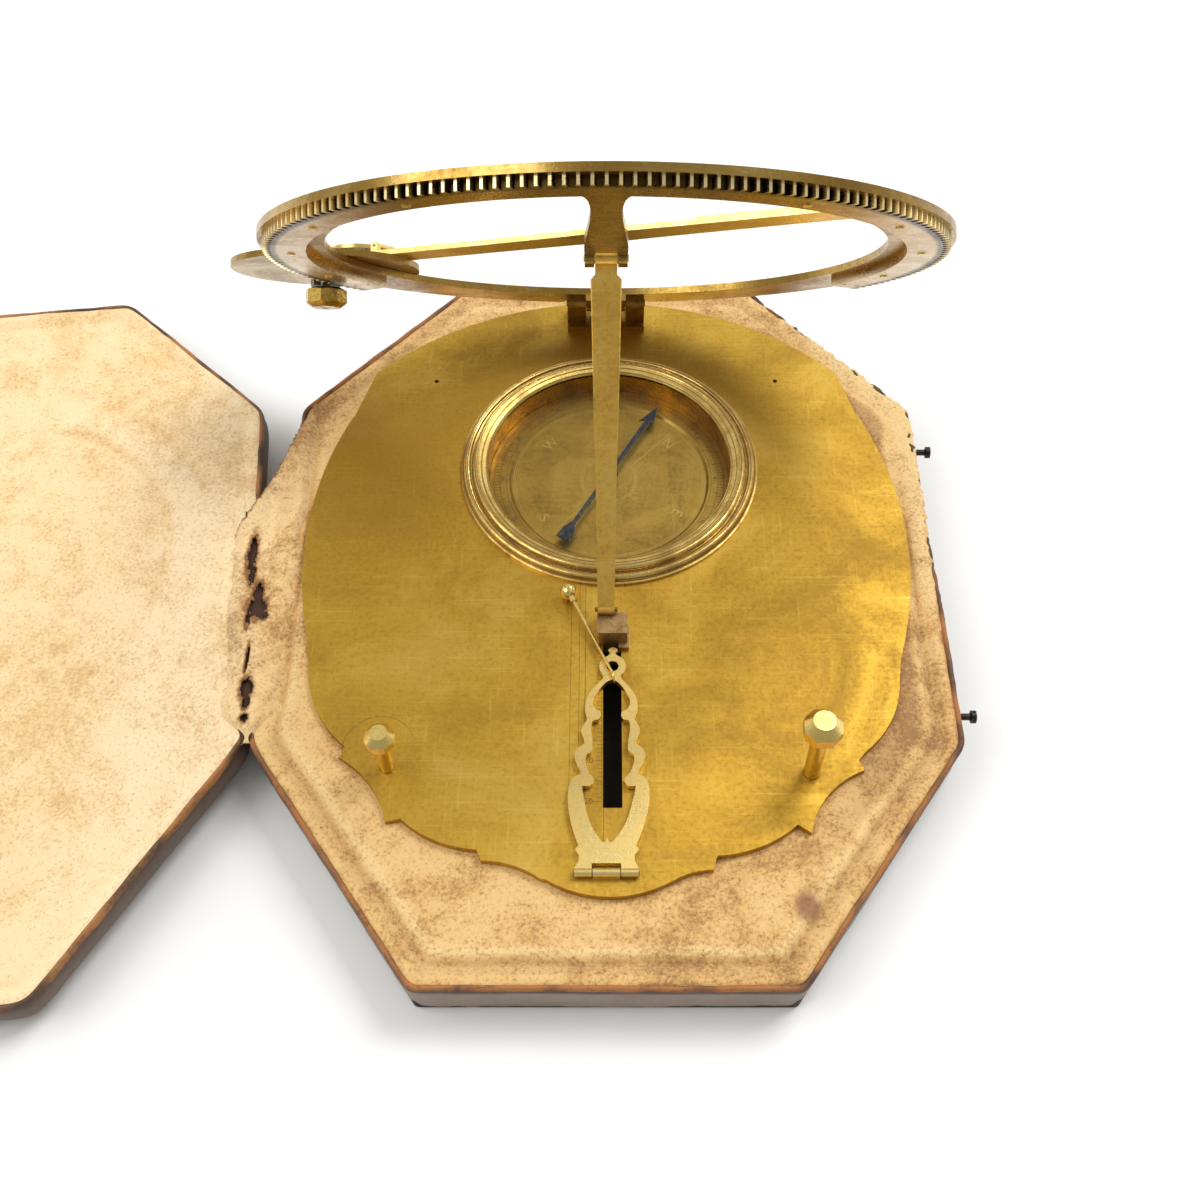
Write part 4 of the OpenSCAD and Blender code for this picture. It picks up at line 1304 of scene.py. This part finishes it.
@dataclass
class HourRing(Group):
    """Hour ring, tongue, strut and slider."""

    radius: float = 76.2
    tilt: float = 51.33
    hinge_y: float = 89.7
    hinge_z: float = 21.0
    thick: float = 1.7
    inner: float = 63.0
    middle: float = 66.2
    outer: float = 73.4
    figures: float = 69.7
    finishes = {"hour_ring": Finish.RING, "gear_ring": Finish.GEAR, "ring_leaf": Finish.BRASS,
                "ring_rivets": Finish.PALE, "centre_pivot": Finish.STEEL, "strut_pin": Finish.PALE,
                "strut": Finish.STRAP, "foot_pin": Finish.DARK, "slider": Finish.WORN,
                "slider_clamp": Finish.DARK}

    def frame(self) -> Matrix:
        """The ring's own plane in the part's frame.

        Returns:
            What takes the ring's plane to the part's frame.
        """
        back, up = polar(self.radius, self.tilt)
        turn = Matrix.Rotation(math.radians(-self.tilt), 4, "X")
        return Matrix.Translation((0, self.hinge_y - back, self.hinge_z + up)) @ turn

    def engrave(self, paints: Paints) -> None:
        """Cuts twice twelve hours on the upper face, with room for the hinge leaf at the back.

        Args:
            paints: The made finishes.
        """
        hours = ("I", "II", "III", "IIII", "V", "VI", "VII", "VIII", "IX", "X", "XI", "XII")
        cut = Engraver(self.frame() @ Matrix.Translation((0, 0, self.thick)))
        for i in range(288):
            from_back = abs(i * 1.25 - 90)
            if i % 12 == 0 or from_back >= 10:
                start = self.outer if i % 12 else self.middle
                cut.tick(i * 1.25, start, 75.4 if from_back > 9 else 72.4, 0.13)
        for r in (self.middle, self.inner):
            cut.circle(r, 0.13)
        cut.circle(self.outer, 0.13, 98.5, 441.5)
        cut.figures(hours * 2, 4.2, self.figures, 82.5)
        cut.finish("hour_figures", paints[Finish.INK], "ring")


@dataclass
class Strut:
    """Flat tapering sides that lie over the strut's core, as distances along it and half widths."""

    joint: Flat = (37.84, 82.6)
    slope: float = 49.907
    sections: tuple[Flat, ...] = ((3.6, 2.45), (4.0, 2.95), (4.6, 3.5), (10, 3.35), (22, 3.1), (36, 2.74),
                                  (50, 2.36))
    thick: float = 0.88
    bevel: float = 0.25

    def build(self, paints: Paints) -> None:
        """Builds the sides.

        Args:
            paints: The made finishes.
        """
        y, z = self.joint
        c, s = polar(1, self.slope)
        rings = []
        for along, half in self.sections:
            shape = [(half, self.thick - self.bevel), (half - self.bevel, self.thick)]
            shape += [(-x, n) for x, n in reversed(shape)]
            shape += [(x, -n) for x, n in reversed(shape)]
            rings.append([(x, y - along * c - n * s, z - along * s + n * c) for x, n in shape])
        points, faces = loft(rings, False)
        sides = add_piece("strut_sides", points, faces, paints[Finish.STRAP], "strut", smooth=False)


@dataclass
class Alidade(Group):
    """Index bar, minute dial, pinion and vanes."""

    ring: HourRing
    angle: float = 153.75
    reach: float = 77.5
    dial_top: float = 3.3
    inner: float = 19.4
    outer: float = 21.5
    figures: float = 16.4
    finishes = {"minute_dial": Finish.RING, "index_bar": Finish.PALE, "bar_screws": Finish.STEEL,
                "vane_post": Finish.PALE, "vane_pin": Finish.STEEL, "far_pin": Finish.STEEL,
                "pinion": Finish.STEEL, "minute_hand": Finish.BLUED, "knob": Finish.KNOB,
                "noon_vane": Finish.PALE, "far_vane": Finish.PALE}

    def engrave(self, paints: Paints) -> None:
        """Cuts sixty minutes on the round dial, with a gap in the figures under the bar.

        Args:
            paints: The made finishes.
        """
        turn = Matrix.Rotation(math.radians(self.angle), 4, "Z")
        cut = Engraver(self.ring.frame() @ turn @ Matrix.Translation((self.reach, 0, self.dial_top)))
        for i in range(60):
            cut.tick(6 * i, self.inner if i % 5 else self.inner - 1.2, self.outer, 0.13)
        for r in (self.inner, self.outer):
            cut.circle(r, 0.13)
        cut.figures(["" if i in (40, 45, 50) else str(i) for i in range(5, 65, 5)], 2.2, self.figures, 60)
        cut.finish("minute_figures", paints[Finish.INK], "alidade")


@dataclass
class Fittings(Group):
    """Finishes of the bob, its bracket and the levelling screws."""

    finishes = {"bob_bracket": Finish.PALE, "bob": Finish.BRIGHT, "left_screw": Finish.BRIGHT,
                "right_screw": Finish.BRIGHT}


# The room


@dataclass
class Studio:
    """Floor, lamps, world and camera."""

    lens: float = 42.41
    at: Point = (-0.45, -203.57, 295.13)
    pitch: float = 54.954
    yaw: float = -0.297
    roll: float = -0.252
    target: Point = (-0.05, 0, 0.03)

    def camera(self) -> None:
        """Places the camera at the photograph's angle."""
        data = bpy.data.cameras.new("camera")
        data.lens = self.lens
        data.sensor_width = 36.0
        data.clip_start = 0.01
        data.clip_end = 20
        thing = bpy.data.objects.new("camera", data)
        place = Matrix.Translation(Vector(self.at) * MM)
        for angle, letter in ((-self.yaw, "Z"), (90 - self.pitch, "X"), (self.roll, "Z")):
            place = place @ Matrix.Rotation(math.radians(angle), 4, letter)
        thing.matrix_world = place
        bpy.context.scene.collection.objects.link(thing)
        bpy.context.scene.camera = thing

    def floor(self) -> None:
        """Lays the white table, which looks plain white to the camera."""
        size = 6000.0
        graph = Graph("finish_floor")
        graph.finish(Base_Color=(0.9, 0.9, 0.89), Roughness=0.85, Specular_IOR_Level=0.2)
        corners = [(x * size, y * size, -0.05) for x, y in ((-1, -1), (1, -1), (1, 1), (-1, 1))]
        add_piece("floor", corners, [(0, 1, 2, 3)], graph.material, None)

    def lamp(self, name: str, at: Point, size: float, power: float) -> None:
        """Hangs one soft lamp that faces the dial.

        Args:
            name: Object name.
            at: Place in metres.
            size: Side in metres.
            power: Power in watts.
        """
        data = bpy.data.lights.new(name, "AREA")
        data.shape = "SQUARE"
        data.size = size
        data.energy = power
        thing = bpy.data.objects.new(name, data)
        thing.location = at
        thing.rotation_mode = "QUATERNION"
        thing.rotation_quaternion = (Vector(at) - Vector(self.target)).to_track_quat("Z", "Y")
        bpy.context.scene.collection.objects.link(thing)

    def world(self) -> None:
        """Sets a soft world: pale overhead and behind the dial, dimmer on the camera's side."""
        world = bpy.data.worlds.new("world")
        world.use_nodes = True
        tree = world.node_tree
        kinds = ("ShaderNodeTexCoord", "ShaderNodeSeparateXYZ", "ShaderNodeMapRange")
        where, parts, back = (tree.nodes.new(kind) for kind in kinds)
        sky = tree.nodes["Background"]
        back.interpolation_type = "SMOOTHSTEP"
        for key, value in {"From Min": -0.7, "From Max": 0.8, "To Min": 0.42, "To Max": 0.8}.items():
            back.inputs[key].default_value = value
        tree.links.new(where.outputs["Generated"], parts.inputs[0])
        tree.links.new(parts.outputs["Y"], back.inputs["Value"])
        tree.links.new(back.outputs[0], sky.inputs[1])
        sky.inputs[0].default_value = (1.0, 0.99, 0.97, 1.0)
        bpy.context.scene.world = world

    def build(self) -> None:
        """Builds the whole room."""
        self.camera()
        self.floor()
        self.world()
        self.lamp("key", (0.9, 0.7, 1.6), 0.9, 22)
        self.lamp("fill", (-1.1, -0.3, 1.3), 1.2, 12)
        bpy.context.scene.view_settings.view_transform = "Standard"


def report(seen: set[str]) -> None:
    """Names each piece that has been added since the last report.

    Args:
        seen: Names that have been reported, added to here.
    """
    for thing in bpy.context.scene.objects:
        if thing.type == "MESH" and thing.name not in seen:
            seen.add(thing.name)
            LOG.info("built %s with %d faces", thing.name, len(thing.data.polygons))


def main() -> None:
    """Builds every group in order."""
    logging.basicConfig(level=logging.INFO, format="%(message)s")
    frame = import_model()
    nodes = frame["nodes"]
    paints = Paints()
    seen = {thing.name for thing in bpy.context.scene.objects}
    Studio().build()
    report(seen)
    ring = HourRing()
    for group in (BasePlate(), Compass(), ring, Alidade(ring), Fittings()):
        group.dress(nodes, paints)
        group.engrave(paints)
        report(seen)
    for part in (Strut(), CaseBase(), Lid(), Spine()):
        part.build(paints)
        report(seen)


if __name__ == "__main__":
    main()
